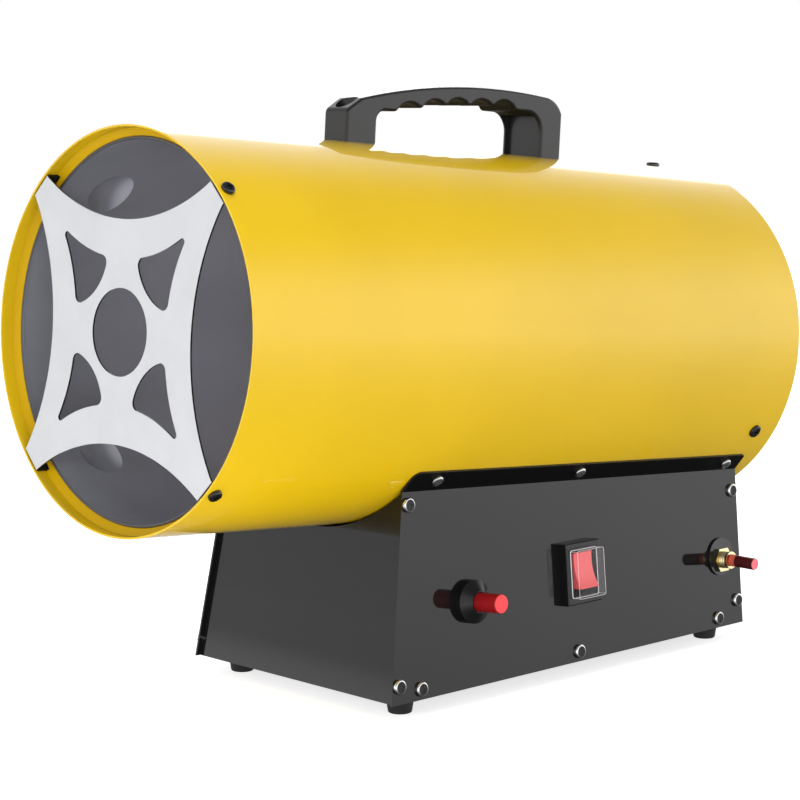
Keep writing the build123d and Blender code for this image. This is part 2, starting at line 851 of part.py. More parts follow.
with BuildPart() as burner_cup:
    with BuildSketch(profile_plane):
        with BuildLine():
            Polyline(
                (burner_at, burner_mouth_radius),
                (burner_back + burner_sheet, burner_radius(burner_back + burner_sheet)),
                (burner_back + burner_sheet, nozzle_tip_radius + seat_gap),
                (burner_back, nozzle_tip_radius + seat_gap),
                (burner_back, burner_back_radius - burner_sheet),
                (burner_at, burner_mouth_radius - burner_sheet),
                close=True,
            )
        make_face()
    revolve(axis=tube_axis)
    with Locations(station(burner_back)):
        with PolarLocations(burner_air_circle, burner_air_holes):
            Hole(burner_air_hole_radius, depth=PAST * burner_sheet)
save(burner_cup, "burner_cup")

bracket_back = bracket_at + bracket_sheet
bracket_tab_radius = sqrt((liner_bore - seat_gap) ** 2 - (bracket_arm_width / 2) ** 2)

with BuildPart() as burner_bracket:
    with BuildSketch(station(bracket_at)):
        Circle(burner_radius(bracket_at) + bracket_arm_width / 2)
        for angle in THREE_WAYS:
            middle = (burner_radius(bracket_at) + bracket_tab_radius) / 2
            reach = bracket_tab_radius - burner_radius(bracket_at)
            with PolarLocations(middle, 1, start_angle=angle):
                Rectangle(reach, bracket_arm_width)
        Circle(burner_radius(bracket_at) + seat_gap, mode=Mode.SUBTRACT)
    extrude(amount=bracket_sheet)
    for angle in THREE_WAYS:
        with BuildSketch(on_tube(bracket_at, angle, bracket_tab_radius)):
            with Locations((-(bracket_tab_length - bracket_sheet) / 2 + bracket_sheet / 2, 0)):
                Rectangle(bracket_tab_length, bracket_arm_width)
        extrude(amount=-bracket_sheet)
    with Locations(station(bracket_at)):
        with Locations((0, electrode_circle)):
            Hole(insulator_radius + seat_gap, depth=2 * bracket_sheet)
        with PolarLocations(electrode_circle, 1, start_angle=PROBE_ANGLE):
            Hole(probe_radius + seat_gap, depth=2 * bracket_sheet)
save(burner_bracket, "burner_bracket")

with BuildPart() as burner_nozzle:
    with BuildSketch(station(burner_back + burner_sheet)):
        Circle(nozzle_tip_radius)
    extrude(amount=-nozzle_tip_length)
    with BuildSketch(station(burner_back + burner_sheet)):
        RegularPolygon(nozzle_hex / 2, HEXAGON, major_radius=False)
    extrude(amount=nozzle_hex_length)
    with BuildSketch(station(nozzle_back)):
        Circle(nozzle_bore)
    extrude(amount=-(nozzle_hex_length + nozzle_tip_length), mode=Mode.SUBTRACT)
save(burner_nozzle, "burner_nozzle")

insulator_front = bracket_back - insulator_length / 2

with BuildPart() as electrode_insulator:
    with BuildSketch(station(insulator_front)):
        with Locations((0, electrode_circle)):
            Circle(insulator_radius)
    extrude(amount=insulator_length)
    with BuildSketch(station(bracket_back)):
        with Locations((0, electrode_circle)):
            Circle(insulator_collar_radius)
    extrude(amount=insulator_radius)
    with BuildSketch(station(insulator_front)):
        with Locations((0, electrode_circle)):
            Circle(electrode_wire + seat_gap)
    extrude(amount=insulator_length, mode=Mode.SUBTRACT)
save(electrode_insulator, "electrode_insulator")

electrode_tip = burner_mouth_radius + electrode_wire + electrode_gap

with BuildPart() as ignition_electrode:
    with BuildSketch(station(insulator_front - electrode_reach)):
        with Locations((0, electrode_circle)):
            Circle(electrode_wire)
    extrude(amount=insulator_length + 2 * electrode_reach)
    with BuildSketch(on_tube(insulator_front - electrode_reach, 90, electrode_circle)):
        Circle(electrode_wire)
    extrude(amount=-(electrode_circle - electrode_tip))
save(ignition_electrode, "ignition_electrode")

with BuildPart() as thermocouple:
    with BuildSketch(station(bracket_back - probe_length / 2)):
        with PolarLocations(electrode_circle, 1, start_angle=PROBE_ANGLE):
            Circle(probe_radius)
    extrude(amount=probe_length)
    with BuildSketch(station(bracket_back)):
        with PolarLocations(electrode_circle, 1, start_angle=PROBE_ANGLE):
            Circle(probe_collar_radius)
    extrude(amount=probe_collar_radius)
save(thermocouple, "thermocouple")

with BuildPart() as overheat_thermostat:
    with BuildSketch(station(bracket_back)):
        with PolarLocations(liner_bore - thermostat_inset, 1, start_angle=THERMOSTAT_ANGLE):
            Circle(thermostat_radius)
    extrude(amount=thermostat_height)
    with BuildSketch(station(bracket_back + thermostat_height)):
        with PolarLocations(liner_bore - thermostat_inset, 1, start_angle=THERMOSTAT_ANGLE):
            Rectangle(thermostat_blade, thermostat_radius)
    extrude(amount=thermostat_height)
save(overheat_thermostat, "overheat_thermostat")

# ---------------------------------------------------------------- handle
handle_root = casing_radius - handle_rear_half_width
groove_pitch = (handle_gap - groove_front_margin - groove_rear_margin) / (len(handle_grooves) - 1)
groove_first = handle_gap_front + groove_front_margin
groove_places = [groove_first + index * groove_pitch for index in range(len(handle_grooves))]
ridge_places = [place - groove_pitch / 2 for place in groove_places]
ridge_places.append(groove_places[-1] + groove_pitch / 2)
ridge_heights = [casing_radius + height for height in handle_ridges]
groove_heights = [casing_radius + height for height in handle_grooves]
handle_nose = (handle_front, casing_radius + handle_nose_height)
handle_brow = (handle_front + handle_brow_setback, casing_radius + handle_brow_height)
handle_grip = (handle_front + handle_grip_setback, casing_radius + handle_grip_height)
handle_tail = (handle_rear - handle_tail_inset, casing_radius + handle_tail_height)
handle_heel = (handle_rear - handle_heel_inset, casing_radius + handle_heel_height)
handle_back = (handle_rear, casing_radius + handle_heel_end)


def handle_half_width(along):
    """Half the handle's width at this place: it widens evenly to the rear."""
    share = (along - handle_front) / (handle_rear - handle_front)
    return handle_front_half_width + share * (handle_rear_half_width - handle_front_half_width)


with BuildPart() as handle:
    with BuildSketch(profile_plane) as handle_outline:
        with BuildLine():
            Polyline((handle_front, handle_root), handle_nose, handle_brow)
            ThreePointArc(handle_brow, handle_grip, handle_tail)
            ThreePointArc(handle_tail, handle_heel, handle_back)
            Polyline(handle_back, (handle_rear, handle_root), (handle_front, handle_root))
        make_face()
        from_front = handle_outline.vertices().sort_by(Axis.X)
        nose_corners = from_front.filter_by_position(Axis.Y, handle_nose[1], handle_brow[1])
        fillet(nose_corners, radius=handle_nose_fillet)
        # Hand gap, its roof a row of finger grooves.
        with BuildSketch(mode=Mode.SUBTRACT) as hand_gap:
            with BuildLine():
                Polyline(
                    (ridge_places[0], ridge_heights[0]),
                    (handle_gap_front, ridge_heights[0]),
                    (handle_gap_front, handle_root),
                    (handle_gap_rear, handle_root),
                    (handle_gap_rear, ridge_heights[-1]),
                    (ridge_places[-1], ridge_heights[-1]),
                )
                for index, place in enumerate(groove_places):
                    ThreePointArc(
                        (ridge_places[index], ridge_heights[index]),
                        (place, groove_heights[index]),
                        (ridge_places[index + 1], ridge_heights[index + 1]),
                    )
            make_face()
            fillet(hand_gap.vertices().group_by(Axis.X)[0].sort_by(Axis.Y)[-1], radius=handle_front_corner)
            fillet(hand_gap.vertices().group_by(Axis.X)[-1].sort_by(Axis.Y)[-1], radius=handle_rear_corner)
            for place in ridge_places:
                ridge = hand_gap.vertices().filter_by_position(Axis.X, place - near, place + near)
                fillet(ridge, radius=handle_ridge_fillet)
    extrude(amount=2 * handle_rear_half_width, both=True)
    # The plan narrows toward the front.
    with BuildSketch(Plane(origin=tube_plane.origin, x_dir=tube_plane.z_dir, z_dir=tube_plane.y_dir)):
        with BuildLine():
            Polyline(
                (handle_front, handle_front_half_width),
                (handle_rear, handle_rear_half_width),
                (handle_rear, -handle_rear_half_width),
                (handle_front, -handle_front_half_width),
                close=True,
            )
        make_face()
    extrude(amount=2 * casing_radius, mode=Mode.INTERSECT)
    flanks = handle.faces().filter_by(GeomType.PLANE).sort_by(SortBy.AREA)[-2:]
    fillet(flanks.edges(), radius=handle_edge_fillet)
    # Channel down the front of the rear leg.
    channel_half_width = handle_half_width(handle_gap_rear) - handle_channel_wall
    with BuildSketch(station(handle_gap_rear - handle_rear_corner)):
        with Locations((0, ridge_heights[-1] - handle_channel_top)):
            Rectangle(2 * channel_half_width, casing_radius / 2, align=(Align.CENTER, Align.MAX))
    extrude(amount=handle_rear_corner + handle_channel_depth, mode=Mode.SUBTRACT)
    # The seat follows the tube.
    with BuildSketch(tube_plane):
        Circle(casing_radius)
    extrude(amount=casing_length, mode=Mode.SUBTRACT)
    with BuildSketch(handle_screw_plane):
        Circle(handle_recess_radius)
    extrude(amount=handle_grip_height, mode=Mode.SUBTRACT)
    with Locations(handle_screw_plane):
        Hole(screw_hole, depth=2 * handle_recess_floor)
    with Locations(handle_rear_screw_plane):
        Hole(screw_hole, depth=2 * screw_length + casing_wall)
save(handle, "handle")

handle_screw_length = handle_recess_floor + casing_wall + handle_recess_reach
handle_screw = pan_screw(screw_head, screw_head_height, handle_screw_length)
handle_rear_screw = pan_screw(screw_head, screw_head_height, 2 * screw_length)

with BuildPart() as handle_screws:
    with Locations(handle_screw_plane):
        add(handle_screw)
    with Locations(handle_rear_screw_plane):
        add(handle_rear_screw)
save(handle_screws, "handle_screws")

# ---------------------------------------------------------------- side panels
front_cut = Plane(
    origin=(base_front_x, 0, foot_height),
    x_dir=(0, 1, 0),
    z_dir=(cos(radians(front_lean)), 0, -sin(radians(front_lean))),
)

thickness_edge = 1.5 * sheet

with BuildPart() as plain_panel:
    for x in (base_front_x, base_rear_x):
        with BuildSketch(Plane.YZ.offset(x)):
            with BuildLine():
                Polyline(*panel_section(x), close=True)
            make_face()
    loft(ruled=True)
    split(bisect_by=front_cut, keep=Keep.TOP)
    corners = plain_panel.edges().filter_by(lambda edge: edge.length < thickness_edge)
    rear_corner = corners.group_by(Axis.X)[-1].sort_by(Axis.Z)[-1]
    fillet(rear_corner, radius=flange_rear_corner)
    corners = plain_panel.edges().filter_by(lambda edge: edge.length < thickness_edge)
    fillet(corners.sort_by(Axis.Z)[-1], radius=flange_front_corner)
    with Locations(*side_screw_planes(CONTROL_SIDE), *flange_screw_planes(CONTROL_SIDE)):
        Hole(screw_hole, depth=screw_reach)

with BuildPart() as control_side_panel:
    add(plain_panel.part)
    with BuildSketch(on_panel(CONTROL_SIDE, switch_x, switch_up)):
        Rectangle(switch_width - 2 * switch_wall, switch_height - 2 * switch_wall)
    extrude(amount=-2 * sheet, mode=Mode.SUBTRACT)
    with Locations(on_panel(CONTROL_SIDE, valve_x, valve_up)):
        Hole(valve_nose_radius + seat_gap, depth=PAST * sheet)
    with Locations(on_panel(CONTROL_SIDE, inlet_x, inlet_up)):
        Hole(inlet_thread_radius + seat_gap, depth=PAST * sheet)
save(control_side_panel, "control_side_panel")

with BuildPart() as far_side_panel:
    mirror(plain_panel.part, about=Plane.XZ)
save(far_side_panel, "far_side_panel")

for name, side in (("control", CONTROL_SIDE), ("far", FAR_SIDE)):
    with BuildPart() as flange_screws:
        with Locations(*flange_screw_planes(side)):
            add(flange_screw)
    save(flange_screws, f"{name}_flange_screws")
    with BuildPart() as panel_screws:
        with Locations(*side_screw_planes(side)):
            add(panel_screw)
    save(panel_screws, f"{name}_panel_screws")

# ---------------------------------------------------------------- end panels
def inner_half_width(z):
    """Half the room between the side panels at height z."""
    rise = z - foot_height
    return base_half_width - rise * lean_sin / lean_cos - sheet / lean_cos - seat_gap


def end_panel(face_x, lean, inward):
    """Folded end panel: a face across the base and a flange along each side panel."""
    slope = tan(radians(lean))
    top = mouth_height - casing_radius / 2
    with BuildPart() as panel:
        for z in (foot_height, top):
            face = face_x + inward * (z - foot_height) * slope
            back = face + inward * sheet
            end = face + inward * end_flange
            outer = inner_half_width(z)
            inner = outer - sheet
            with BuildSketch(Plane.XY.offset(z)):
                with BuildLine():
                    Polyline(
                        (face, -outer),
                        (end, -outer),
                        (end, -inner),
                        (back, -inner),
                        (back, inner),
                        (end, inner),
                        (end, outer),
                        (face, outer),
                        close=True,
                    )
                make_face()
        loft(ruled=True)
        # Saddle under the tube.
        with BuildSketch(tube_plane):
            Circle(casing_radius + saddle_gap)
        extrude(amount=casing_length, mode=Mode.SUBTRACT)
        # The flanges stop above the floor.
        with BuildSketch(Plane.XY.offset(foot_height)):
            with Locations((face_x + inward * (sheet + seat_gap + end_flange), 0)):
                Rectangle(2 * end_flange, 2 * base_half_width)
        extrude(amount=sheet + seat_gap, mode=Mode.SUBTRACT)
        with Locations(*side_screw_planes(CONTROL_SIDE), *side_screw_planes(FAR_SIDE)):
            Hole(screw_hole, depth=screw_reach)
    return panel


front_face_x = base_front_x + end_panel_recess
rear_face_x = base_rear_x - end_panel_recess
front_panel = end_panel(front_face_x, front_lean, 1)
save(front_panel, "front_panel")

gland_plane = Plane(origin=(rear_face_x, gland_y, foot_height + gland_up), x_dir=(0, 1, 0), z_dir=(1, 0, 0))
rear_blank = end_panel(rear_face_x, 0, -1)
with BuildPart() as rear_panel:
    add(rear_blank.part)
    with Locations(gland_plane):
        Hole(gland_thread_radius + seat_gap, depth=PAST * sheet)
save(rear_panel, "rear_panel")

# ---------------------------------------------------------------- floor
floor_front = front_face_x + 2 * sheet + seat_gap
floor_rear = rear_face_x - sheet - seat_gap
lip_front = front_face_x + end_flange + floor_lip * tan(radians(front_lean)) + move_gap
lip_rear = rear_face_x - end_flange - move_gap
foot_places = {
    "foot_front_control": (base_front_x + foot_inset_front, -base_half_width + foot_inset_side),
    "foot_front_far": (base_front_x + foot_inset_front, base_half_width - foot_inset_side),
    "foot_rear_control": (base_rear_x - foot_inset_rear, -base_half_width + foot_inset_side),
    "foot_rear_far": (base_rear_x - foot_inset_rear, base_half_width - foot_inset_side),
}

with BuildPart() as base_floor:
    with BuildSketch(Plane.YZ.offset(floor_front)):
        low = inner_half_width(foot_height)
        high = inner_half_width(foot_height + floor_lip)
        with BuildLine():
            Polyline(
                (-low, foot_height),
                (-high, foot_height + floor_lip),
                (-high + sheet, foot_height + floor_lip),
                (-inner_half_width(floor_top) + sheet, floor_top),
                (inner_half_width(floor_top) - sheet, floor_top),
                (high - sheet, foot_height + floor_lip),
                (high, foot_height + floor_lip),
                (low, foot_height),
                close=True,
            )
        make_face()
    extrude(amount=floor_rear - floor_front)
    # The lips run between the end panels' flanges.
    with BuildSketch(Plane.XY.offset(floor_top)):
        with Locations((lip_front, 0)):
            Rectangle(2 * base_setback, 2 * base_half_width, align=(Align.MAX, Align.CENTER))
        with Locations((lip_rear, 0)):
            Rectangle(2 * base_setback, 2 * base_half_width, align=(Align.MIN, Align.CENTER))
    extrude(amount=2 * floor_lip, mode=Mode.SUBTRACT)
    with Locations(*side_screw_planes(CONTROL_SIDE), *side_screw_planes(FAR_SIDE)):
        Hole(screw_hole, depth=screw_reach)
    with Locations(*[(x, y, floor_top) for x, y in foot_places.values()]):
        Hole(screw_hole, depth=2 * sheet)
save(base_floor, "base_floor")

foot_screw = pan_screw(screw_head, screw_head_height, floor_top - foot_recess_depth + 2 * sheet)

for name, (x, y) in foot_places.items():
    with BuildPart() as foot:
        with Locations((x, y, 0)):
            Cone(
                foot_bottom_radius,
                foot_top_radius,
                foot_height,
                align=(Align.CENTER, Align.CENTER, Align.MIN),
            )
        fillet(foot.edges().group_by(Axis.Z)[0], radius=foot_edge_fillet)
        with BuildSketch():
            with Locations((x, y)):
                Circle(foot_recess_radius)
        extrude(amount=foot_recess_depth, mode=Mode.SUBTRACT)
        with Locations((x, y, foot_recess_depth)):
            Hole(screw_hole, depth=foot_height)
    save(foot, name)

with BuildPart() as foot_screws:
    for x, y in foot_places.values():
        with Locations(Plane(origin=(x, y, foot_recess_depth), z_dir=(0, 0, -1))):
            add(foot_screw)
save(foot_screws, "foot_screws")

# ---------------------------------------------------------------- rocker switch
switch_plane = on_panel(CONTROL_SIDE, switch_x, switch_up)
well_width = rocker_width + 2 * move_gap
well_height = cover_height - 2 * cover_wall
pin_reach = well_width / 2 + pin_engagement
switch_axis = Axis(switch_plane.origin, switch_plane.z_dir)
switch_body_inset = switch_wall + seat_gap

with BuildPart() as switch_frame:
    with BuildSketch(switch_plane):
        Rectangle(switch_width, switch_height)
    extrude(amount=switch_depth)
    fillet(switch_frame.faces().sort_by(switch_axis)[-1].edges(), radius=frame_fillet)
    with BuildSketch(switch_plane):
        Rectangle(switch_width - 2 * switch_body_inset, switch_height - 2 * switch_body_inset)
    extrude(amount=-switch_body_depth)
    with BuildSketch(switch_plane.offset(switch_depth)):
        Rectangle(cover_width + 2 * seat_gap, cover_height + 2 * seat_gap)
    extrude(amount=-cover_seat, mode=Mode.SUBTRACT)
    with BuildSketch(switch_plane.offset(switch_depth)):
        Rectangle(well_width, well_height)
    extrude(amount=-switch_well_depth, mode=Mode.SUBTRACT)
    pin_plane = Plane(
        origin=switch_plane.origin + switch_plane.z_dir * rocker_pivot,
        x_dir=switch_plane.y_dir,
        z_dir=switch_plane.x_dir,
    )
    with BuildSketch(pin_plane):
        Circle(rocker_pin + running_gap)
    extrude(amount=pin_reach + running_gap, both=True, mode=Mode.SUBTRACT)
save(switch_frame, "switch_frame")

tilt_cos = cos(radians(rocker_tilt))
tilt_sin = sin(radians(rocker_tilt))
rocker_plane = Plane(
    origin=pin_plane.origin,
    x_dir=switch_plane.y_dir * tilt_cos - switch_plane.z_dir * tilt_sin,
    z_dir=switch_plane.x_dir,
)
rocker_lift = rocker_face - rocker_pivot

with BuildPart() as switch_rocker:
    with BuildSketch(rocker_plane):
        with BuildLine():
            ThreePointArc(
                (-rocker_half_height, rocker_lift),
                (0, rocker_lift - rocker_dish),
                (rocker_half_height, rocker_lift),
            )
            Polyline(
                (rocker_half_height, rocker_lift),
                (rocker_foot, -rocker_pin),
                (-rocker_foot, -rocker_pin),
                (-rocker_half_height, rocker_lift),
            )
        make_face()
    extrude(amount=rocker_width / 2, both=True)
    fillet(switch_rocker.faces().sort_by(SortBy.AREA)[-1].edges(), radius=rocker_fillet)
    with BuildSketch(rocker_plane):
        Circle(rocker_pin)
    extrude(amount=pin_reach - 2 * running_gap, both=True)
save(switch_rocker, "switch_rocker")

with BuildPart() as switch_cover:
    with BuildSketch(switch_plane.offset(switch_depth - cover_seat + seat_gap)) as cover_plan:
        Rectangle(cover_width, cover_height)
        fillet(cover_plan.vertices(), radius=cover_corner)
    extrude(amount=cover_seat + cover_rise - seat_gap)
    fillet(switch_cover.faces().sort_by(switch_axis)[-1].edges(), radius=cover_fillet)
    with BuildSketch(switch_plane.offset(switch_depth - cover_seat)):
        Rectangle(cover_width - 2 * cover_wall, cover_height - 2 * cover_wall)
    extrude(amount=cover_seat + cover_rise - cover_wall, mode=Mode.SUBTRACT)
save(switch_cover, "switch_cover")

# ---------------------------------------------------------------- gas valve
valve_plane = on_panel(CONTROL_SIDE, valve_x, valve_up)
valve_axis = Axis(valve_plane.origin, valve_plane.z_dir)
valve_profile = Plane(origin=valve_plane.origin, x_dir=valve_plane.x_dir, z_dir=-valve_plane.y_dir)
collar_ledge = valve_nose_length + 2 * seat_gap
shoulder_top = collar_ledge - move_gap
shoulder_bottom = shoulder_top - 2 * button_shoulder
bore_floor = -valve_bore_depth
stem_end = shoulder_bottom - 2 * button_travel

with BuildPart() as valve_collar:
    with BuildSketch(valve_profile):
        with BuildLine():
            Polyline(
                (valve_nose_radius + seat_gap, 0),
                (collar_radius, 0),
                (collar_radius, collar_rim),
                (collar_nose_radius, collar_rim + collar_rise),
                (button_radius + move_gap, collar_rim + collar_rise),
                (button_radius + move_gap, collar_ledge),
                (valve_nose_radius + seat_gap, collar_ledge),
                close=True,
            )
        make_face()
    revolve(axis=valve_axis)
save(valve_collar, "valve_collar")

with BuildPart() as valve_body:
    with BuildSketch(valve_plane.offset(-sheet - seat_gap)):
        Rectangle(valve_size, valve_size)
    extrude(amount=-(valve_depth - sheet - seat_gap))
    fillet(valve_body.edges().filter_by(valve_axis), radius=valve_corner)
    with BuildSketch(valve_plane.offset(-valve_depth / 2)):
        Circle(valve_nose_radius)
    extrude(amount=valve_depth / 2 + valve_nose_length)
    with BuildSketch(valve_plane.offset(bore_floor)):
        Circle(valve_bore)
    extrude(amount=valve_nose_length - bore_floor, mode=Mode.SUBTRACT)
    # Side port for the feed pipe.
    port_plane = Plane(
        origin=valve_plane.origin - valve_plane.z_dir * feed_depth + valve_plane.x_dir * valve_size / 2,
        x_dir=valve_plane.y_dir,
        z_dir=valve_plane.x_dir,
    )
    with BuildSketch(port_plane):
        RegularPolygon(pipe_nut_size / 2, HEXAGON, major_radius=False)
    extrude(amount=pipe_nut_length)
save(valve_body, "valve_body")

with BuildPart() as valve_button:
    with BuildSketch(valve_plane.offset(shoulder_bottom)):
        Circle(button_radius)
    extrude(amount=button_length - shoulder_bottom)
    fillet(valve_button.edges().sort_by(valve_axis)[-1], radius=button_fillet)
    with BuildSketch(valve_plane.offset(shoulder_bottom)):
        Circle(button_radius + button_shoulder)
    extrude(amount=shoulder_top - shoulder_bottom)
    with BuildSketch(valve_plane.offset(stem_end)):
        Circle(button_stem_radius)
    extrude(amount=shoulder_bottom - stem_end)
save(valve_button, "valve_button")

with BuildPart() as valve_spring:
    with BuildSketch(valve_plane.offset(bore_floor + seat_gap)):
        Circle(button_stem_radius + move_gap + spring_wire)
        Circle(button_stem_radius + move_gap, mode=Mode.SUBTRACT)
    extrude(amount=shoulder_bottom - bore_floor - 2 * seat_gap)
save(valve_spring, "valve_spring")

# ---------------------------------------------------------------- gas inlet
inlet_plane = on_panel(CONTROL_SIDE, inlet_x, inlet_up)
inlet_axis = Axis(inlet_plane.origin, inlet_plane.z_dir)
inlet_profile = Plane(origin=inlet_plane.origin, x_dir=inlet_plane.x_dir, z_dir=-inlet_plane.y_dir)
inlet_front = inlet_thread_end + inlet_collar_length
thread_start = inlet_washer_sheet + inlet_nut_length + 2 * seat_gap
thread_turns = int((inlet_thread_end - thread_start) / inlet_thread_pitch)

with BuildPart() as inlet_washer:
    with BuildSketch(inlet_plane):
        with Locations((0, inlet_washer_lift)):
            Circle(inlet_washer_radius)
        Circle(inlet_thread_radius + seat_gap, mode=Mode.SUBTRACT)
    extrude(amount=inlet_washer_sheet)
save(inlet_washer, "inlet_washer")

with BuildPart() as inlet_nut:
    with BuildSketch(inlet_plane.offset(inlet_washer_sheet)):
        RegularPolygon(inlet_nut_size / 2, HEXAGON, major_radius=False)
        Circle(inlet_thread_radius + seat_gap, mode=Mode.SUBTRACT)
    extrude(amount=inlet_nut_length)
save(inlet_nut, "inlet_nut")

with BuildPart() as inlet_fitting:
    with BuildSketch(inlet_plane.offset(-inlet_tail)):
        Circle(inlet_thread_radius)
    extrude(amount=inlet_tail + inlet_thread_end)
    for turn in range(thread_turns):
        groove_at = thread_start + turn * inlet_thread_pitch
        with BuildSketch(inlet_profile):
            with BuildLine():
                Polyline(
                    (inlet_thread_radius + seat_gap, groove_at),
                    (inlet_thread_radius - inlet_thread_pitch / 2, groove_at + inlet_thread_pitch / 2),
                    (inlet_thread_radius + seat_gap, groove_at + inlet_thread_pitch),
                    close=True,
                )
            make_face()
        revolve(axis=inlet_axis, mode=Mode.SUBTRACT)
    with BuildSketch(inlet_plane.offset(inlet_thread_end)):
        Circle(inlet_collar_radius)
    extrude(amount=inlet_collar_length)
    with BuildSketch(inlet_plane.offset(-sheet - seat_gap)):
        Circle(inlet_back_radius)
    extrude(amount=-inlet_back_length)
    with BuildSketch(inlet_plane.offset(-inlet_tail)):
        Circle(inlet_gas_bore)
    extrude(amount=inlet_tail + inlet_front, mode=Mode.SUBTRACT)
    with BuildSketch(inlet_plane.offset(inlet_front)):
        Circle(cap_stem_radius + move_gap)
    extrude(amount=-(cap_insert + move_gap), mode=Mode.SUBTRACT)
save(inlet_fitting, "inlet_fitting")

# The cap hangs a little from the fitting's mouth.
cap_plane = Plane(
    origin=inlet_plane.origin + inlet_plane.z_dir * inlet_front,
    x_dir=inlet_plane.x_dir,
    z_dir=inlet_plane.z_dir * cos(radians(cap_droop)) - inlet_plane.y_dir * sin(radians(cap_droop)),
)
cap_axis = Axis(cap_plane.origin, cap_plane.z_dir)
cap_start = cap_seat_gap + seal_length + seat_gap

with BuildPart() as inlet_seal:
    with BuildSketch(cap_plane.offset(cap_seat_gap)):
        Circle(cap_radius)
        Circle(cap_stem_radius + seat_gap, mode=Mode.SUBTRACT)
    extrude(amount=seal_length)
save(inlet_seal, "inlet_seal")

with BuildPart() as inlet_cap:
    with BuildSketch(cap_plane.offset(-cap_insert)):
        Circle(cap_stem_radius)
    extrude(amount=cap_insert + cap_start)
    with BuildSketch(cap_plane.offset(cap_start)):
        Circle(cap_radius)
    extrude(amount=cap_reach - cap_start)
    fillet(inlet_cap.edges().sort_by(cap_axis)[-1], radius=cap_fillet)
save(inlet_cap, "inlet_cap")

# ---------------------------------------------------------------- gas pipes
valve_back = on_panel(CONTROL_SIDE, valve_x, valve_up, -valve_depth).origin
valve_turn = on_panel(CONTROL_SIDE, valve_x, valve_up, -(base_half_width - 2 * sheet)).origin
drop_up = (valve_turn.Z - mouth_height + drop_pipe_at * pitch_sin) / pitch_cos

with BuildPart() as gas_burner_pipe:
    with BuildLine() as burner_route:
        FilletPolyline(
            in_tube(nozzle_back, 0, 0),
            in_tube(drop_pipe_at, 0, 0),
            in_tube(drop_pipe_at, 0, drop_up),
            valve_turn,
            valve_back,
            radius=pipe_bend,
        )
    with BuildSketch(Plane(origin=burner_route.line @ 0, z_dir=burner_route.line % 0)):
        Circle(pipe_radius)
        Circle(pipe_bore, mode=Mode.SUBTRACT)
    sweep()
save(gas_burner_pipe, "gas_burner_pipe")

port_x = valve_x + valve_size / 2 + pipe_nut_length

with BuildPart() as gas_feed_pipe:
    with BuildLine() as feed_route:
        FilletPolyline(
            on_panel(CONTROL_SIDE, inlet_x, inlet_up, -inlet_tail).origin,
            on_panel(CONTROL_SIDE, inlet_x, inlet_up, -feed_depth).origin,
            on_panel(CONTROL_SIDE, port_x + feed_straight, valve_up, -feed_depth).origin,
            on_panel(CONTROL_SIDE, port_x, valve_up, -feed_depth).origin,
            radius=feed_bend,
        )
    with BuildSketch(Plane(origin=feed_route.line @ 0, z_dir=feed_route.line % 0)):
        Circle(pipe_radius)
        Circle(pipe_bore, mode=Mode.SUBTRACT)
    sweep()
save(gas_feed_pipe, "gas_feed_pipe")

grommet_plane = on_tube(drop_pipe_at, UNDERSIDE)
grommet_axis = Axis(grommet_plane.origin, grommet_plane.z_dir)
grommet_profile = Plane(origin=grommet_plane.origin, x_dir=grommet_plane.x_dir, z_dir=-grommet_plane.y_dir)
grommet_inside = sqrt(casing_bore ** 2 - grommet_flange ** 2) - casing_radius - seat_gap

with BuildPart() as casing_grommet:
    with BuildSketch(grommet_profile):
        with BuildLine():
            Polyline(
                (pipe_radius + seat_gap, grommet_flange_sheet),
                (grommet_flange, grommet_flange_sheet),
                (grommet_flange, seat_gap),
                (grommet_radius, seat_gap),
                (grommet_radius, grommet_inside),
                (grommet_flange, grommet_inside),
                (grommet_flange, grommet_inside - grommet_flange_sheet),
                (pipe_radius + seat_gap, grommet_inside - grommet_flange_sheet),
                close=True,
            )
        make_face()
    revolve(axis=grommet_axis)
save(casing_grommet, "casing_grommet")

# ---------------------------------------------------------------- cord gland
with BuildPart() as cord_gland:
    with BuildSketch(gland_plane.offset(-gland_inner_length)):
        Circle(gland_thread_radius)
    extrude(amount=gland_inner_length)
    with BuildSketch(gland_plane):
        RegularPolygon(gland_hex / 2, HEXAGON, major_radius=False)
    extrude(amount=gland_hex_length)
    with BuildSketch(gland_plane.offset(gland_hex_length)):
        Circle(gland_thread_radius)
    extrude(amount=gland_dome_length)
    fillet(cord_gland.edges().group_by(Axis.X)[-1], radius=gland_dome_fillet)
    with Locations(gland_plane):
        Hole(gland_bore)
save(cord_gland, "cord_gland")

with BuildPart() as cord_gland_nut:
    with BuildSketch(gland_plane.offset(-sheet - seat_gap)):
        RegularPolygon(gland_hex / 2, HEXAGON, major_radius=False)
        Circle(gland_thread_radius + seat_gap, mode=Mode.SUBTRACT)
    extrude(amount=-gland_nut_length)
save(cord_gland_nut, "cord_gland_nut")

# ---------------------------------------------------------------- electrics on the floor
with BuildPart() as terminal_block:
    with BuildSketch(Plane.XY.offset(floor_top)):
        with Locations((block_x, block_y)):
            Rectangle(block_length, block_width)
    extrude(amount=block_height)
    with BuildSketch(Plane.XY.offset(floor_top + block_height)):
        with Locations((block_x, block_y)):
            with GridLocations(block_length / block_poles, 0, block_poles, 1):
                Rectangle(pole_length, pole_width)
    extrude(amount=-pole_depth, mode=Mode.SUBTRACT)
save(terminal_block, "terminal_block")

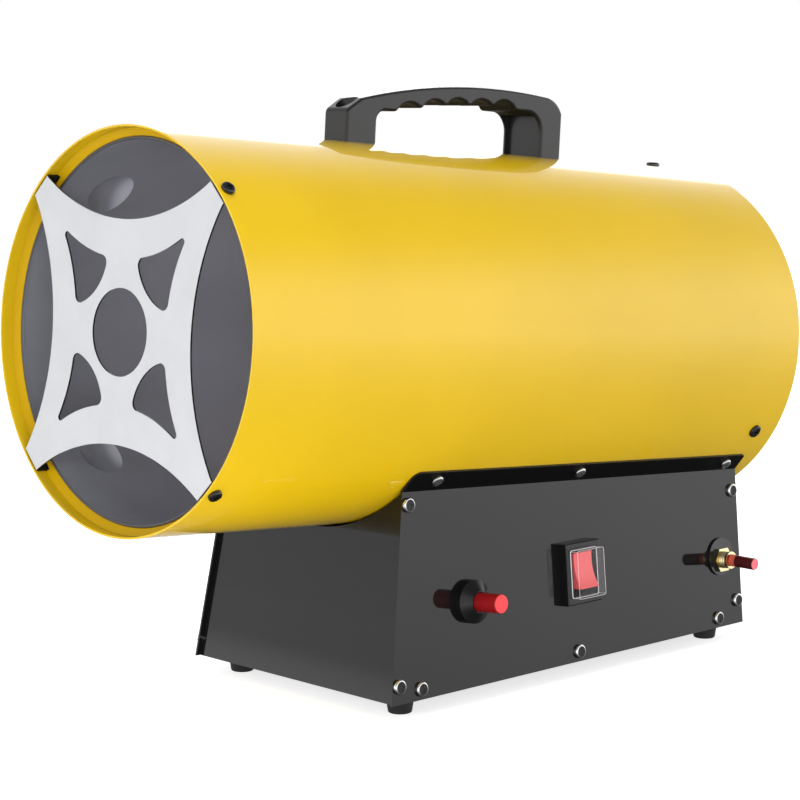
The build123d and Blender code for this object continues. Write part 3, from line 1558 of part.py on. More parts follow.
with BuildPart() as ignition_module:
    with BuildSketch(Plane.XY.offset(floor_top)):
        with Locations((module_x, module_y)):
            Rectangle(module_length, module_width)
    extrude(amount=module_height)
    fillet(ignition_module.edges().filter_by(Axis.Z), radius=module_corner)
    with BuildSketch(Plane.XY.offset(floor_top + module_height)):
        with Locations((module_x, module_y)):
            with GridLocations(module_length / 2, 0, 2, 1):
                Circle(module_boss_radius)
    extrude(amount=module_boss_height)
save(ignition_module, "ignition_module")
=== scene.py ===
# %% [markdown]
# A gas-fired forced air heater, dressed for its picture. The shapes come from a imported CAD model,
# so this lesson is mostly about finishes: how enamel, zinc, brass, rubber and moulded plastic are
# told apart by a handful of shader settings. A few pieces that a CAD sketch keeps plain, such as
# a wire grille, pressed fan blades and a coil spring, are built here as meshes.

# %% Load the CAD model
import json
import math

import bmesh
import bpy
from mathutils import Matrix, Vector


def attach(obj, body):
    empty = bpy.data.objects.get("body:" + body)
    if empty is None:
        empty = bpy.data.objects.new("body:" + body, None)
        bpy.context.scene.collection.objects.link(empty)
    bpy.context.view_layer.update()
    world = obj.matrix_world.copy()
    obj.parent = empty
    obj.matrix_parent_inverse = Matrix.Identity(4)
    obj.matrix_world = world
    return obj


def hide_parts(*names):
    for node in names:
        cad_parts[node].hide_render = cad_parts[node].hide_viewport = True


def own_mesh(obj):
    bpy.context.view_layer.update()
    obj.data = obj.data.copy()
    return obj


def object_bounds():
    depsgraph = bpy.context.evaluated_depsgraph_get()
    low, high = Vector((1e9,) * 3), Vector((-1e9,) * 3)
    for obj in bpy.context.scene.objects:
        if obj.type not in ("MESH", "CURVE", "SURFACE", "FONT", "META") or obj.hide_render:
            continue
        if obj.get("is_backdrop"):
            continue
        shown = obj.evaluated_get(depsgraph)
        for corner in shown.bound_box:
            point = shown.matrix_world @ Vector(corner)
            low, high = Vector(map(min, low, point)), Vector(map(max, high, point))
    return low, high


MM = 0.001

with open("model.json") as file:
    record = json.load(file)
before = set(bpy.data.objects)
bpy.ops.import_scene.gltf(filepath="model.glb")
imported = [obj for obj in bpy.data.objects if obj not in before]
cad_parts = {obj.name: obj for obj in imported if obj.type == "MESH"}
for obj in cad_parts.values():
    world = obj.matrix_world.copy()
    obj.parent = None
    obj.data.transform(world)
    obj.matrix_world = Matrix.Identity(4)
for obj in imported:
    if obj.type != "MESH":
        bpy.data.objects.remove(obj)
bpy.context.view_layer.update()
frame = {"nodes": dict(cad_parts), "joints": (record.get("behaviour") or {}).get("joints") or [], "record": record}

# %% [markdown]
# Shader maths reads best as ordinary Python. A socket is wrapped in a small class whose operators
# add the Math node that does the sum, so that "1 - mask * 0.4" builds two nodes. The alternative
# is to make and link each Math node by hand, which takes five lines for every sign and hides the
# idea.


# %% A socket that can be reckoned with
class Wire:
    """One output socket in a finish. Arithmetic on it adds Math nodes."""

    def __init__(self, finish, socket):
        self.finish = finish
        self.socket = socket

    def math(self, operation, *values):
        return self.finish.node("Math", {"operation": operation}, values)

    def __add__(self, other):
        return self.math("ADD", self, other)

    __radd__ = __add__

    def __sub__(self, other):
        return self.math("SUBTRACT", self, other)

    def __rsub__(self, other):
        return self.math("SUBTRACT", other, self)

    def __mul__(self, other):
        return self.math("MULTIPLY", self, other)

    __rmul__ = __mul__

    def __pow__(self, other):
        return self.math("POWER", self, other)

    def __rpow__(self, other):
        return self.math("POWER", other, self)

    def __abs__(self):
        return self.math("ABSOLUTE", self)

    def or_more(self, other):
        """The larger of this value and another."""
        return self.math("MAXIMUM", self, other)


# %% [markdown]
# A finish is one material. Every node in it is made by one method, which takes the node's type,
# its settings and what goes into its sockets, so that a texture is one readable line. Object
# coordinates are metres on the real thing here, because every piece keeps its object at the
# origin: a noise of scale 900 has lumps of about a millimetre, whatever the piece's size.

# %% A material with its nodes
# A Mix node has one set of sockets for numbers, one for vectors and one for colours.
SHARE, FIRST_COLOUR, SECOND_COLOUR, MIXED_COLOUR = 0, 6, 7, 2


class Finish:
    """A procedural material, or a sky, built node by node."""

    def __init__(self, name, store=None, place="Object"):
        self.block = (bpy.data.materials if store is None else store).new(name)
        self.block.use_nodes = True
        self.tree = self.block.node_tree
        self.tree.nodes.clear()
        self.place = self.node("TexCoord", output=place)

    def node(self, kind, settings=None, inputs=(), output=0):
        """Any node: settings first, then a value or wire for each socket, by name or in order."""
        made = self.tree.nodes.new("ShaderNode" + kind)
        for name, value in (settings or {}).items():
            if name == "stops":
                set_stops(made.color_ramp, value)
            else:
                setattr(made, name, value)
        for name, value in inputs.items() if isinstance(inputs, dict) else enumerate(inputs):
            if isinstance(value, Wire):
                self.tree.links.new(value.socket, made.inputs[name])
            else:
                made.inputs[name].default_value = value
        return Wire(self, made.outputs[output]) if made.outputs else None

    def noise(self, scale, detail, roughness=0.5, stretch=None):
        """Soft cloudy noise from 0 to 1, its lumps about 1/scale metres across."""
        where = self.place
        if stretch:
            where = self.node("Mapping", {}, {"Vector": self.place, "Scale": stretch})
        inputs = {"Vector": where, "Scale": scale, "Detail": detail, "Roughness": roughness}
        return self.node("TexNoise", {}, inputs)

    def ramp(self, value, low, high):
        """0 below low, 1 above high, and a straight line between."""
        return self.node("ValToRGB", {"stops": ((low, 0.0), (high, 1.0))}, {"Fac": value})

    def ease(self, value, low, high, least=0.0):
        """Least below low, 1 above high, and a smooth step between."""
        settings = {"interpolation_type": "SMOOTHSTEP"}
        step = self.node("MapRange", settings, (value, low, high))
        return step * (1 - least) + least if least else step

    def part(self, vector, letter):
        """The X, Y or Z of a vector."""
        return self.node("SeparateXYZ", {}, (vector,), output=letter)

    def facing(self, letter):
        """1 where a surface faces along X, Y or Z, 0 where it is square to it, -1 the other way."""
        return self.part(self.node("NewGeometry", output="Normal"), letter)

    def blend(self, share, first, second):
        """Two colours mixed by a share."""
        inputs = {SHARE: share, FIRST_COLOUR: first, SECOND_COLOUR: second}
        return self.node("Mix", {"data_type": "RGBA"}, inputs, output=MIXED_COLOUR)

    def bump(self, height, depth, strength):
        """Surface relief of this depth in metres."""
        inputs = {"Height": height, "Distance": depth, "Strength": strength}
        return self.node("Bump", {}, inputs)

    def surface(self, **sockets):
        """Close the finish with a Principled shader; underscores in names stand for spaces."""
        inputs = {name.replace("_", " "): value for name, value in sockets.items()}
        return self.close(self.node("BsdfPrincipled", {}, inputs))

    def close(self, shader, kind="OutputMaterial"):
        """Link a shader to the finish's output."""
        self.node(kind, {}, {"Surface": shader})
        return self


def set_stops(color_ramp, stops):
    """Give a colour ramp its stops, each a place and a grey level."""
    for element, (place, level) in zip(color_ramp.elements, stops):
        element.position = place
        element.color = paint(level, level, level)


def paint(red, green, blue):
    """A colour as nodes want it, with its fourth number for alpha."""
    return (red, green, blue, 1.0)


WHITE = paint(1, 1, 1)

# %% [markdown]
# The picture is a studio shot on white. A plain floor catches the heater's soft shadow, and Light
# Path lets it look different to different rays. To the camera, or through a clear piece, it has a
# glow that lifts it to white and adds no light to the heater. To a mirror ray it is dark close by
# and pale far off, as a floor between big cards would be, so that the base's panels don't turn
# white. The pale part is weaker to the west, towards -X, where the panel under the outlet looks.

# %% Studio floor
FLOOR_SIZE = 12.0
FLOOR_GREY = paint(0.85, 0.85, 0.85)
FLOOR_LIFT = 0.72
MIRRORED_GREY = paint(0.06, 0.06, 0.06)
MIRRORED_NEAR = 0.01
MIRRORED_FAR = 1.7
FAR_FALL = 3
WEST_FADE = (-0.9, -0.2)
WEST_LEVEL = 0.6


def seen_plainly(finish):
    """1 for rays from the camera or a clear piece, 0 for mirror rays and light on its way."""
    camera_ray = finish.node("LightPath", output="Is Camera Ray")
    return camera_ray.or_more(finish.node("LightPath", output="Is Transmission Ray"))


def seen_mirrored(finish):
    """1 for rays from a shiny surface."""
    return finish.node("LightPath", output="Is Glossy Ray")


ground = Finish("studio_floor")
mirror = seen_mirrored(ground)
matt = ground.node("BsdfDiffuse", {}, {"Color": ground.blend(mirror, FLOOR_GREY, MIRRORED_GREY)})
slant = ground.node("LayerWeight", {}, {"Blend": 0.5}, output="Facing")
westward = ground.ease(ground.part(ground.place, "X"), *WEST_FADE, least=WEST_LEVEL)
far_off = slant**FAR_FALL * MIRRORED_FAR * westward + MIRRORED_NEAR
lift = seen_plainly(ground) * FLOOR_LIFT + mirror * far_off
glow = ground.node("Emission", {}, {"Color": WHITE, "Strength": lift})
ground.close(ground.node("AddShader", {}, (matt, glow)))

bpy.ops.mesh.primitive_plane_add(size=FLOOR_SIZE, location=(0, 0, 0))
floor = bpy.context.object
floor.name = "studio_floor"
floor.data.materials.append(ground.block)
floor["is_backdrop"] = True
print("floor", FLOOR_SIZE, "m, lifted by", FLOOR_LIFT)

# %% [markdown]
# The sky is a material as well, and it has three faces. It is white to the camera, a plain soft
# light to the heater, and to a mirror ray a pale strip along the horizon and a pale wall in the
# north, which is +Y, with a dark ceiling above. The strip and the wall are the two bands that make
# a painted tube look round. Real cards would do as well, but their edges show in a crisp coat.

# %% Studio sky
SKY_LIGHT = 0.52
CEILING = 0.18
HORIZON = 1.5
HORIZON_FADE = (0.22, 0.66)
WALL = 0.95
WALL_FADE = (0.0, 0.75)
EAST_FADE = (-0.4, 0.4)
WEST_SKY = 0.55

sky = Finish("studio_sky", store=bpy.data.worlds, place="Generated")
bpy.context.scene.world = sky.block
eastward = sky.ease(sky.part(sky.place, "X"), *EAST_FADE, least=WEST_SKY)
strip = (1 - sky.ease(sky.part(sky.place, "Z"), *HORIZON_FADE)) * eastward * HORIZON
wall = sky.ease(sky.part(sky.place, "Y"), *WALL_FADE) * eastward**2 * WALL
mirrored = strip.or_more(wall) + CEILING
plain = seen_plainly(sky)
shiny = seen_mirrored(sky)
strength = (1 - shiny) * ((1 - plain) * SKY_LIGHT + plain) + shiny * mirrored
background = sky.node("Background", {}, {"Color": WHITE, "Strength": strength})
sky.close(background, kind="OutputWorld")
print("sky light", SKY_LIGHT, "horizon", HORIZON, "ceiling", CEILING)

# %% [markdown]
# The camera stands where the photograph was taken: low, at the heater's front left corner. A view
# is easiest to keep true as a place, a direction and a focal length. Aiming by a constraint would
# work too, but then the aim moves when the target does.

# %% Camera
CAMERA_PLACE = Vector((-0.883, -0.899, 0.3053))
CAMERA_TURN = math.radians(43.925)
CAMERA_TILT = math.radians(7.098)
LENS = 104.76
SENSOR = 36.0
NEAREST = 0.05

look = Vector(
    (
        math.sin(CAMERA_TURN) * math.cos(CAMERA_TILT),
        math.cos(CAMERA_TURN) * math.cos(CAMERA_TILT),
        -math.sin(CAMERA_TILT),
    )
)
camera_data = bpy.data.cameras.new("photo_camera")
camera_data.lens = LENS
camera_data.sensor_width = SENSOR
camera_data.clip_start = NEAREST
camera = bpy.data.objects.new("photo_camera", camera_data)
bpy.context.scene.collection.objects.link(camera)
camera.location = CAMERA_PLACE
camera.rotation_mode = "QUATERNION"
camera.rotation_quaternion = look.to_track_quat("-Z", "Y")
bpy.context.scene.camera = camera
bpy.context.scene.view_settings.view_transform = "Standard"
print("camera looks along", [round(way, 3) for way in look])

# %% [markdown]
# Soft boxes are area lamps: the larger one is, the softer its shadow. Where they stand shapes the
# heater's light and dark sides. Five of them are kept out of mirror rays, because a glossy tube
# would show each as a hard-edged patch, and the sky already gives it its bands. Only the rear one
# shows, as the streak along the far side. Their light on the object adds up to about 1, so that a
# colour renders as it is written.

# %% Soft boxes
AIM = Vector((0.0, 0.0, 0.16))
UNDER_MOUTH = Vector((-0.27, -0.1, 0.012))
UPWARD = Vector((0.0, 0.0, 1.0))


def soft_box(name, place, width, height, watts, aim=AIM, mirrored=False):
    """An area lamp at a place, turned to its aim; mirrored says whether shiny surfaces show it."""
    data = bpy.data.lights.new(name, "AREA")
    data.shape = "RECTANGLE"
    data.size = width
    data.size_y = height
    data.energy = watts
    lamp = bpy.data.objects.new(name, data)
    bpy.context.scene.collection.objects.link(lamp)
    lamp.location = place
    lamp.rotation_mode = "QUATERNION"
    lamp.rotation_quaternion = (aim - Vector(place)).to_track_quat("-Z", "Y")
    lamp.visible_camera = False
    lamp.visible_glossy = mirrored
    print(name, watts, "W")


soft_box("box_overhead", (-0.1, 0.0, 1.9), width=1.4, height=0.5, watts=16)
soft_box("box_front", (-1.55, -1.57, 0.85), width=2.4, height=0.42, watts=12)
soft_box("box_low", (-0.9, -1.6, 0.12), width=1.6, height=0.2, watts=11)
soft_box("box_under", UNDER_MOUTH, width=0.3, height=0.2, watts=0.16, aim=UNDER_MOUTH + UPWARD)
soft_box("box_outlet", (-2.0, 0.5, 0.42), width=0.6, height=0.6, watts=10)
soft_box("box_rear", (1.7, 1.3, 0.9), width=2.0, height=0.5, watts=5, mirrored=True)

# %% [markdown]
# The tube is pitched nose up, so its pieces are easiest to place in the tube's own terms: so far
# along its axis, so far out, at such an angle. The fan's joint already holds that axis, so
# nothing has to be measured or copied.

# %% The tube's own frame
spin = next(joint for joint in frame["joints"] if joint["name"] == "fan_spin")
axis = Vector(spin["axis"]).normalized()
fan_centre = Vector(spin["pos_m"])
side = Vector((0, 1, 0))
rise = axis.cross(side)


def outward(angle):
    """The way out from the tube's axis at an angle, turning from +Y to up."""
    return side * math.cos(angle) + rise * math.sin(angle)


def in_tube(along, radius, angle):
    """A point so far behind the fan's middle, so far from the axis, at an angle."""
    return fan_centre + axis * along + outward(angle) * radius


def tube_span(node):
    """How far a CAD piece reaches along the tube and out from its axis."""
    steps = [vertex.co - fan_centre for vertex in frame["nodes"][node].data.vertices]
    along = [step.dot(axis) for step in steps]
    radii = [(step - axis * step.dot(axis)).length for step in steps]
    return min(along), max(along), max(radii)


grille_front, grille_back, grille_radius = tube_span("rear_grille")
fan_front, fan_back, fan_radius = tube_span("fan_rotor")
print("fan mm", [round(value / MM, 1) for value in (fan_front, fan_back, fan_radius)])

# %% [markdown]
# Round wire is a circle carried along a path. For a ring or a spoke the circles can be laid down
# directly in mesh code, ring by ring, and bridged. A curve with a bevel gives the same look, but
# a mesh is what the other pieces are, and it exports as it stands. Each circle takes over the
# last one's way up, which keeps the wire from twisting.


# %% Wire along a path
def sweep(mesh, path, radius, closed=False, sides=12):
    """Lay a round wire along a list of points."""
    count = len(path)
    rings = []
    up = None
    for index, point in enumerate(path):
        before = path[(index - 1) % count] if closed or index else point
        after = path[(index + 1) % count] if closed or index < count - 1 else point
        ahead = (after - before).normalized()
        if up is None:
            up = ahead.orthogonal()
        up = (up - ahead * up.dot(ahead)).normalized()
        across = ahead.cross(up)
        ring = []
        for step in range(sides):
            turn = math.tau * step / sides
            offset = up * math.cos(turn) + across * math.sin(turn)
            ring.append(mesh.verts.new(point + offset * radius))
        rings.append(ring)
    for first, second in zip(rings, rings[1:] + rings[:1] if closed else rings[1:]):
        for step in range(sides):
            after = (step + 1) % sides
            mesh.faces.new((first[step], first[after], second[after], second[step]))
    if not closed:
        mesh.faces.new(list(reversed(rings[0])))
        mesh.faces.new(rings[-1])


# %% [markdown]
# A pressed plate or a hub is a profile turned round the tube's axis. A Screw modifier would do it
# too, once the profile lay in the right plane. Here the points go straight to where the tube is.


# %% A profile turned round the tube's axis
def turned(mesh, profile, sides=96):
    """Turn a closed profile of (along, radius) points round the tube's axis."""
    rings = []
    for step in range(sides):
        angle = math.tau * step / sides
        rings.append([mesh.verts.new(in_tube(along, radius, angle)) for along, radius in profile])
    for first, second in zip(rings, rings[1:] + rings[:1]):
        for index in range(len(profile)):
            after = (index + 1) % len(profile)
            mesh.faces.new((first[index], second[index], second[after], first[after]))


# %% [markdown]
# Every made piece ends the same way: its normals turned outward, its curves shaded smooth and its
# real edges kept sharp, and then it rides on the CAD body that carries it. A piece that moves in
# the real heater moves here with no more work.

# %% A finished piece
made_pieces = {}


def finish_piece(name, mesh, body, slot, smooth_angle=40):
    """Turn mesh data into a smooth shaded piece that rides on a body."""
    bmesh.ops.recalc_face_normals(mesh, faces=mesh.faces)
    data = bpy.data.meshes.new(name)
    mesh.to_mesh(data)
    mesh.free()
    data.shade_smooth()
    piece = bpy.data.objects.new(name, data)
    bpy.context.scene.collection.objects.link(piece)
    data.set_sharp_from_angle(angle=math.radians(smooth_angle))
    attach(piece, body)
    made_pieces[piece] = slot
    print(name, "faces", len(data.polygons))
    return piece


# %% [markdown]
# The intake at the back is closed by a wire grille: concentric rings welded to six spokes, round
# a pressed plate that carries the motor. Its rings stop a finger and let the air in. The CAD
# keeps it as one flat stamping, and this piece stands for it with real round wire, in the same
# places.

# %% Rings and spokes of the rear grille
RING_WIRE = 1.0 * MM
RING_INSET = 3.2 * MM
RING_POINTS = 120
RINGS = 6
SPOKE_WIRE = 1.5 * MM
SPOKE_WELD = 0.8
SPOKE_START = 34.0 * MM
SPOKES = 6
FIRST_SPOKE = 30
HUB_RADIUS = 40.0 * MM

grille = bmesh.new()
wire_along = grille_back - RING_WIRE
outer_ring = grille_radius - RING_INSET
ring_step = (outer_ring - HUB_RADIUS) / (RINGS - 1)
ring_turns = [math.tau * step / RING_POINTS for step in range(RING_POINTS)]
for index in range(RINGS):
    radius = outer_ring - index * ring_step
    circle = [in_tube(wire_along, radius, turn) for turn in ring_turns]
    sweep(grille, circle, RING_WIRE, closed=True)
spoke_along = wire_along - RING_WIRE - SPOKE_WIRE * SPOKE_WELD
for index in range(SPOKES):
    angle = math.radians(FIRST_SPOKE + index * 360 / SPOKES)
    ends = [in_tube(spoke_along, reach, angle) for reach in (SPOKE_START, outer_ring + RING_WIRE)]
    sweep(grille, ends, SPOKE_WIRE)
print("grille rings every", round(ring_step / MM, 1), "mm")

# %% [markdown]
# The plate in the middle is dished, with a low step near its rim, which stiffens thin sheet.
# Three tabs at the grille's own rim reach forward into the tube, where the screws hold them. A
# tab is a bent strip, so eight corners and six faces are enough for it.

# %% Plate and tabs of the rear grille
SHAFT_HOLE = 4.0 * MM
STEP_FOOT = 34.0 * MM
STEP_TOP = 36.0 * MM
DISH = 0.4 * MM
RIM_RISE = 0.6 * MM
RIM_CHAMFER = 0.6 * MM
TAB_ANGLES = (90, 210, 330)
TAB_WIDTH = 14.0 * MM
TAB_REACH = 12.0 * MM
TAB_SHEET = 1.0 * MM
BRICK_FACES = ((0, 1, 3, 2), (4, 6, 7, 5), (0, 2, 6, 4), (1, 5, 7, 3), (2, 3, 7, 6), (0, 4, 5, 1))

plate = [
    (grille_front, SHAFT_HOLE),
    (grille_back - DISH, SHAFT_HOLE),
    (grille_back - DISH, STEP_FOOT),
    (grille_back + RIM_RISE, STEP_TOP),
    (grille_back + RIM_RISE, HUB_RADIUS - RIM_CHAMFER),
    (grille_back, HUB_RADIUS),
    (grille_front, HUB_RADIUS),
]
turned(grille, plate)
tab_radius = math.sqrt(grille_radius**2 - (TAB_WIDTH / 2) ** 2)
for angle in TAB_ANGLES:
    out_way = outward(math.radians(angle))
    across = axis.cross(out_way)
    corners = []
    for along in (grille_front - TAB_REACH, grille_back):
        for out in (tab_radius - TAB_SHEET, tab_radius):
            for shift in (-TAB_WIDTH / 2, TAB_WIDTH / 2):
                place = fan_centre + axis * along + out_way * out + across * shift
                corners.append(grille.verts.new(place))
    for face in BRICK_FACES:
        grille.faces.new([corners[index] for index in face])
grille_piece = finish_piece("grille_wires", grille, "heater", "grille_paint")
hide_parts("rear_grille")

# %% [markdown]
# The fan is pressed from aluminium sheet: five broad blades, twisted more at the root than at the
# tip and cupped across their width, riveted round a turned hub. Each blade is a grid of points
# whose angle, radius and place along the axis are worked out from how far out and how far across
# it is.

# %% The form of a blade
BLADE_SHEET = 1.4 * MM
ROOT_RADIUS = 13.0 * MM
ROOT_PITCH = 40
UNTWIST = 14
ROOT_WIDTH = 22.0 * MM
WIDENING = 26.0 * MM
WIDENING_RATE = 2.2
WIDENING_CURVE = 0.7
TIP_START = 0.8
TIP_ROUNDING = 0.16
CUP = 3.0 * MM
WRAP_RADIUS = 24.0 * MM
ACROSS = 16
OUT = 22

half_depth = (fan_back - fan_front) / 2
deepest = half_depth * 0.99


def blade_width(out):
    """A blade's width at this share of its length: broad from early on, rounded at the tip."""
    width = ROOT_WIDTH + WIDENING * min(1.0, out * WIDENING_RATE) ** WIDENING_CURVE
    corner = max(0.0, (out - TIP_START) / (1 - TIP_START))
    return width * (1 - TIP_ROUNDING * corner**2)


def blade_point(centre, out, over, lift):
    """A point on a blade, so far out, so far across, and lifted off its middle surface."""
    radius = ROOT_RADIUS + (fan_radius - ROOT_RADIUS) * out
    pitch = math.radians(ROOT_PITCH - UNTWIST * out)
    run = over * blade_width(out)
    turn = centre + run * math.cos(pitch) / radius * min(1.0, radius / WRAP_RADIUS)
    cup = CUP * (1 - (2 * over) ** 2) * out
    along = run * math.sin(pitch) + cup + lift
    return in_tube(max(-deepest, min(deepest, along)), radius, turn)


print("blade width mm", [round(blade_width(out / 4) / MM, 1) for out in range(5)])

# %% [markdown]
# Sheet has two sides and an edge. Both sides of a blade are laid down from the same formula, half
# the sheet's thickness either way, and four strips close the edge between them. A Solidify
# modifier would do the same, but would push the blade's edge past the box that the CAD fan fills.

# %% Pressed fan blades
BLADES = 5
HUB = 16.0 * MM
HUB_HALF = 7.0 * MM
HUB_CHAMFER = 1.0 * MM
BORE = 4.05 * MM

fan = bmesh.new()
for blade in range(BLADES):
    centre = math.radians(90 + blade * 360 / BLADES)
    sheets = []
    for lift in (-BLADE_SHEET / 2, BLADE_SHEET / 2):
        rows = []
        for i in range(OUT + 1):
            row = [blade_point(centre, i / OUT, j / ACROSS - 0.5, lift) for j in range(ACROSS + 1)]
            rows.append([fan.verts.new(point) for point in row])
        sheets.append(rows)
        for first, second in zip(rows, rows[1:]):
            for j in range(ACROSS):
                fan.faces.new((first[j], first[j + 1], second[j + 1], second[j]))
    low, high = sheets
    for i in range(OUT):
        for j in (0, ACROSS):
            fan.faces.new((low[i][j], low[i + 1][j], high[i + 1][j], high[i][j]))
    for i in (0, OUT):
        for j in range(ACROSS):
            fan.faces.new((low[i][j], low[i][j + 1], high[i][j + 1], high[i][j]))
hub = [
    (-HUB_HALF, BORE),
    (-HUB_HALF, HUB - HUB_CHAMFER),
    (-HUB_HALF + HUB_CHAMFER, HUB),
    (HUB_HALF - HUB_CHAMFER, HUB),
    (HUB_HALF, HUB - HUB_CHAMFER),
    (HUB_HALF, BORE),
]
turned(fan, hub, sides=64)
fan_piece = finish_piece("fan_blades", fan, "fan", "fan_aluminium", smooth_angle=50)
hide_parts("fan_rotor")

# %% [markdown]
# The clear hood over the switch is moulded with a lip, and its edges catch the light as bright lines.
# A thin white bead round its foot and its rim paints those highlights on. The bead follows
# the CAD hood, whose corners are found in the panel's own directions, so it stays in place if the
# hood moves. The red button moves square to the panel, so its joint gives those directions.

# %% The panel's own directions
press = next(joint for joint in frame["joints"] if joint["name"] == "button_press")
press_axis = Vector(press["axis"]).normalized()
panel_out = -press_axis
panel_along = Vector((1, 0, 0))
panel_up = panel_out.cross(panel_along)


def in_panel(node, way):
    """How far a CAD piece reaches one way in the control panel's own directions."""
    reach = [vertex.co.dot(way) for vertex in frame["nodes"][node].data.vertices]
    return min(reach), max(reach)


left, right = in_panel("switch_cover", panel_along)
bottom, top = in_panel("switch_cover", panel_up)
rim = in_panel("switch_cover", panel_out)[1]
foot = in_panel("switch_frame", panel_out)[1]
print("hood mm", round((right - left) / MM, 1), round((top - bottom) / MM, 1))

# %% [markdown]
# Both beads run round the same rounded rectangle, a little larger or smaller. Four upright beads
# join them at the middle of each corner.

# %% Painted highlights on the hood's edges
FOOT_BEAD = 0.22 * MM
RIM_BEAD = 0.10 * MM
RIM_INSET = 0.6 * MM
HOOD_CORNER = 1.2 * MM
CORNER_POINTS = 6
BEAD_SIDES = 8


def hood_loop(depth, bead):
    """A rounded rectangle of points round the hood at this depth."""
    inward = HOOD_CORNER + bead / 2
    points = []
    for across, height, start in (
        (right - inward, top - inward, 0),
        (left + inward, top - inward, 90),
        (left + inward, bottom + inward, 180),
        (right - inward, bottom + inward, 270),
    ):
        for step in range(CORNER_POINTS):
            turn = math.radians(start + 90 * step / (CORNER_POINTS - 1))
            x = across + HOOD_CORNER * math.cos(turn)
            y = height + HOOD_CORNER * math.sin(turn)
            points.append(panel_along * x + panel_up * y + panel_out * depth)
    return points


beads = bmesh.new()
foot_loop = hood_loop(foot + FOOT_BEAD, FOOT_BEAD)
rim_loop = hood_loop(rim - RIM_INSET, RIM_BEAD)
sweep(beads, foot_loop, FOOT_BEAD, closed=True, sides=BEAD_SIDES)
sweep(beads, rim_loop, RIM_BEAD, closed=True, sides=BEAD_SIDES)
for corner in range(CORNER_POINTS // 2, len(foot_loop), CORNER_POINTS):
    sweep(beads, [foot_loop[corner], rim_loop[corner]], RIM_BEAD, sides=BEAD_SIDES)
# The beads are a painted highlight: white plastic where the hood's edges catch the light.
finish_piece("hood_edge_highlights", beads, "heater", "block_plastic", smooth_angle=80)

# %% [markdown]
# The red button is pushed back by a coil spring inside the valve. Only a glimpse of it can ever
# be seen, but the solid sleeve of the CAD is easy to better: a helix of wire between the same two
# ends, with a closed turn at each. How much of its length it keeps with the button pressed is
# worked out as well.

# %% Coil spring in the valve
SPRING_WIRE = 0.5 * MM
SPRING_TURNS = 9
SPRING_POINTS = SPRING_TURNS * 28
END_CROWDING = 0.09

sleeve = [vertex.co.copy() for vertex in frame["nodes"]["valve_spring"].data.vertices]
depths = [point.dot(press_axis) for point in sleeve]
sleeve_length = max(depths) - min(depths)
sleeve_centre = sum(sleeve, Vector()) / len(sleeve)
spring_foot = sleeve_centre + press_axis * (max(depths) - sleeve_centre.dot(press_axis))
spring_length = sleeve_length - 2 * SPRING_WIRE
distances = [(point - spring_foot).cross(press_axis).length for point in sleeve]
spring_radius = max(distances) - SPRING_WIRE
first_way = press_axis.orthogonal().normalized()
second_way = press_axis.cross(first_way)
coil_path = []
for step in range(SPRING_POINTS + 1):
    share = step / SPRING_POINTS
    turn = math.tau * SPRING_TURNS * share
    eased = share + END_CROWDING * math.sin(math.tau * share)
    height = SPRING_WIRE + spring_length * eased
    circle = first_way * math.cos(turn) + second_way * math.sin(turn)
    coil_path.append(spring_foot - press_axis * height + circle * spring_radius)
coil = bmesh.new()
sweep(coil, coil_path, SPRING_WIRE, sides=8)
coil_piece = finish_piece("spring_coil", coil, "heater", "zinc_steel", smooth_angle=80)
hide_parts("valve_spring")
SPRING_KEEP = 1 - abs(press["range_m"][1]) / sleeve_length
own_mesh(coil_piece)
print("spring mm", round(spring_length / MM, 1), "keep", round(SPRING_KEEP, 2))

# %% [markdown]
# Enamel is a coloured layer under a clear glossy one. The tube's powder coat has a fine orange
# peel, which breaks a reflection's edge, and a very slight drift of tone where the coat is
# thicker. The dark base is the same coat in near black: almost all that is seen of it is what it
# mirrors. Its flange faces down into the shade, where it would mirror the panel's bright
# controls, so the clear coat is left off the faces that look down.

# %% Enamels
DRIFT_SCALE = 9.0
PEEL_SCALE = 420.0
GRAIN_SCALE = 2600.0
GRAIN_SHARE = 0.12
PEEL_STRENGTH = 0.35
DUST_SCALE = 60.0
DUST_BLUR = 0.05
ENAMEL_BLUR = 0.04
FLANGE_FADE = (-0.5, -0.2)

finishes = {}


def coat_above(finish, coat, fade):
    """A coat's weight, taken off the faces that look down; fade says from where to where."""
    return finish.ease(finish.facing("Z"), *fade) * coat if fade else coat


def enamel(name, colour, gloss, level=0.3, coat=0.15, peel=0.03, drift=0.05, fade=None):
    """Powder coat: gloss blurs its shine, peel is its relief in mm, drift its change of tone."""
    coated = Finish(name)
    darker = paint(*(part * (1 - drift) for part in colour))
    lighter = paint(*(part * (1 + drift) for part in colour))
    cloud = coated.ramp(coated.noise(DRIFT_SCALE, detail=3.0), low=0.3, high=0.7)
    grain = coated.noise(GRAIN_SCALE, detail=1.0) * GRAIN_SHARE
    dust = coated.ramp(coated.noise(DUST_SCALE, detail=4.0), low=0.45, high=0.8)
    relief = coated.noise(PEEL_SCALE, detail=2.0) + grain
    finishes[name] = coated.surface(
        Base_Color=coated.blend(cloud, darker, lighter),
        Roughness=dust * DUST_BLUR + gloss,
        Specular_IOR_Level=level,
        Coat_Weight=coat_above(coated, coat, fade),
        Coat_Roughness=ENAMEL_BLUR,
        Normal=coated.bump(relief, peel * MM, PEEL_STRENGTH),
    )


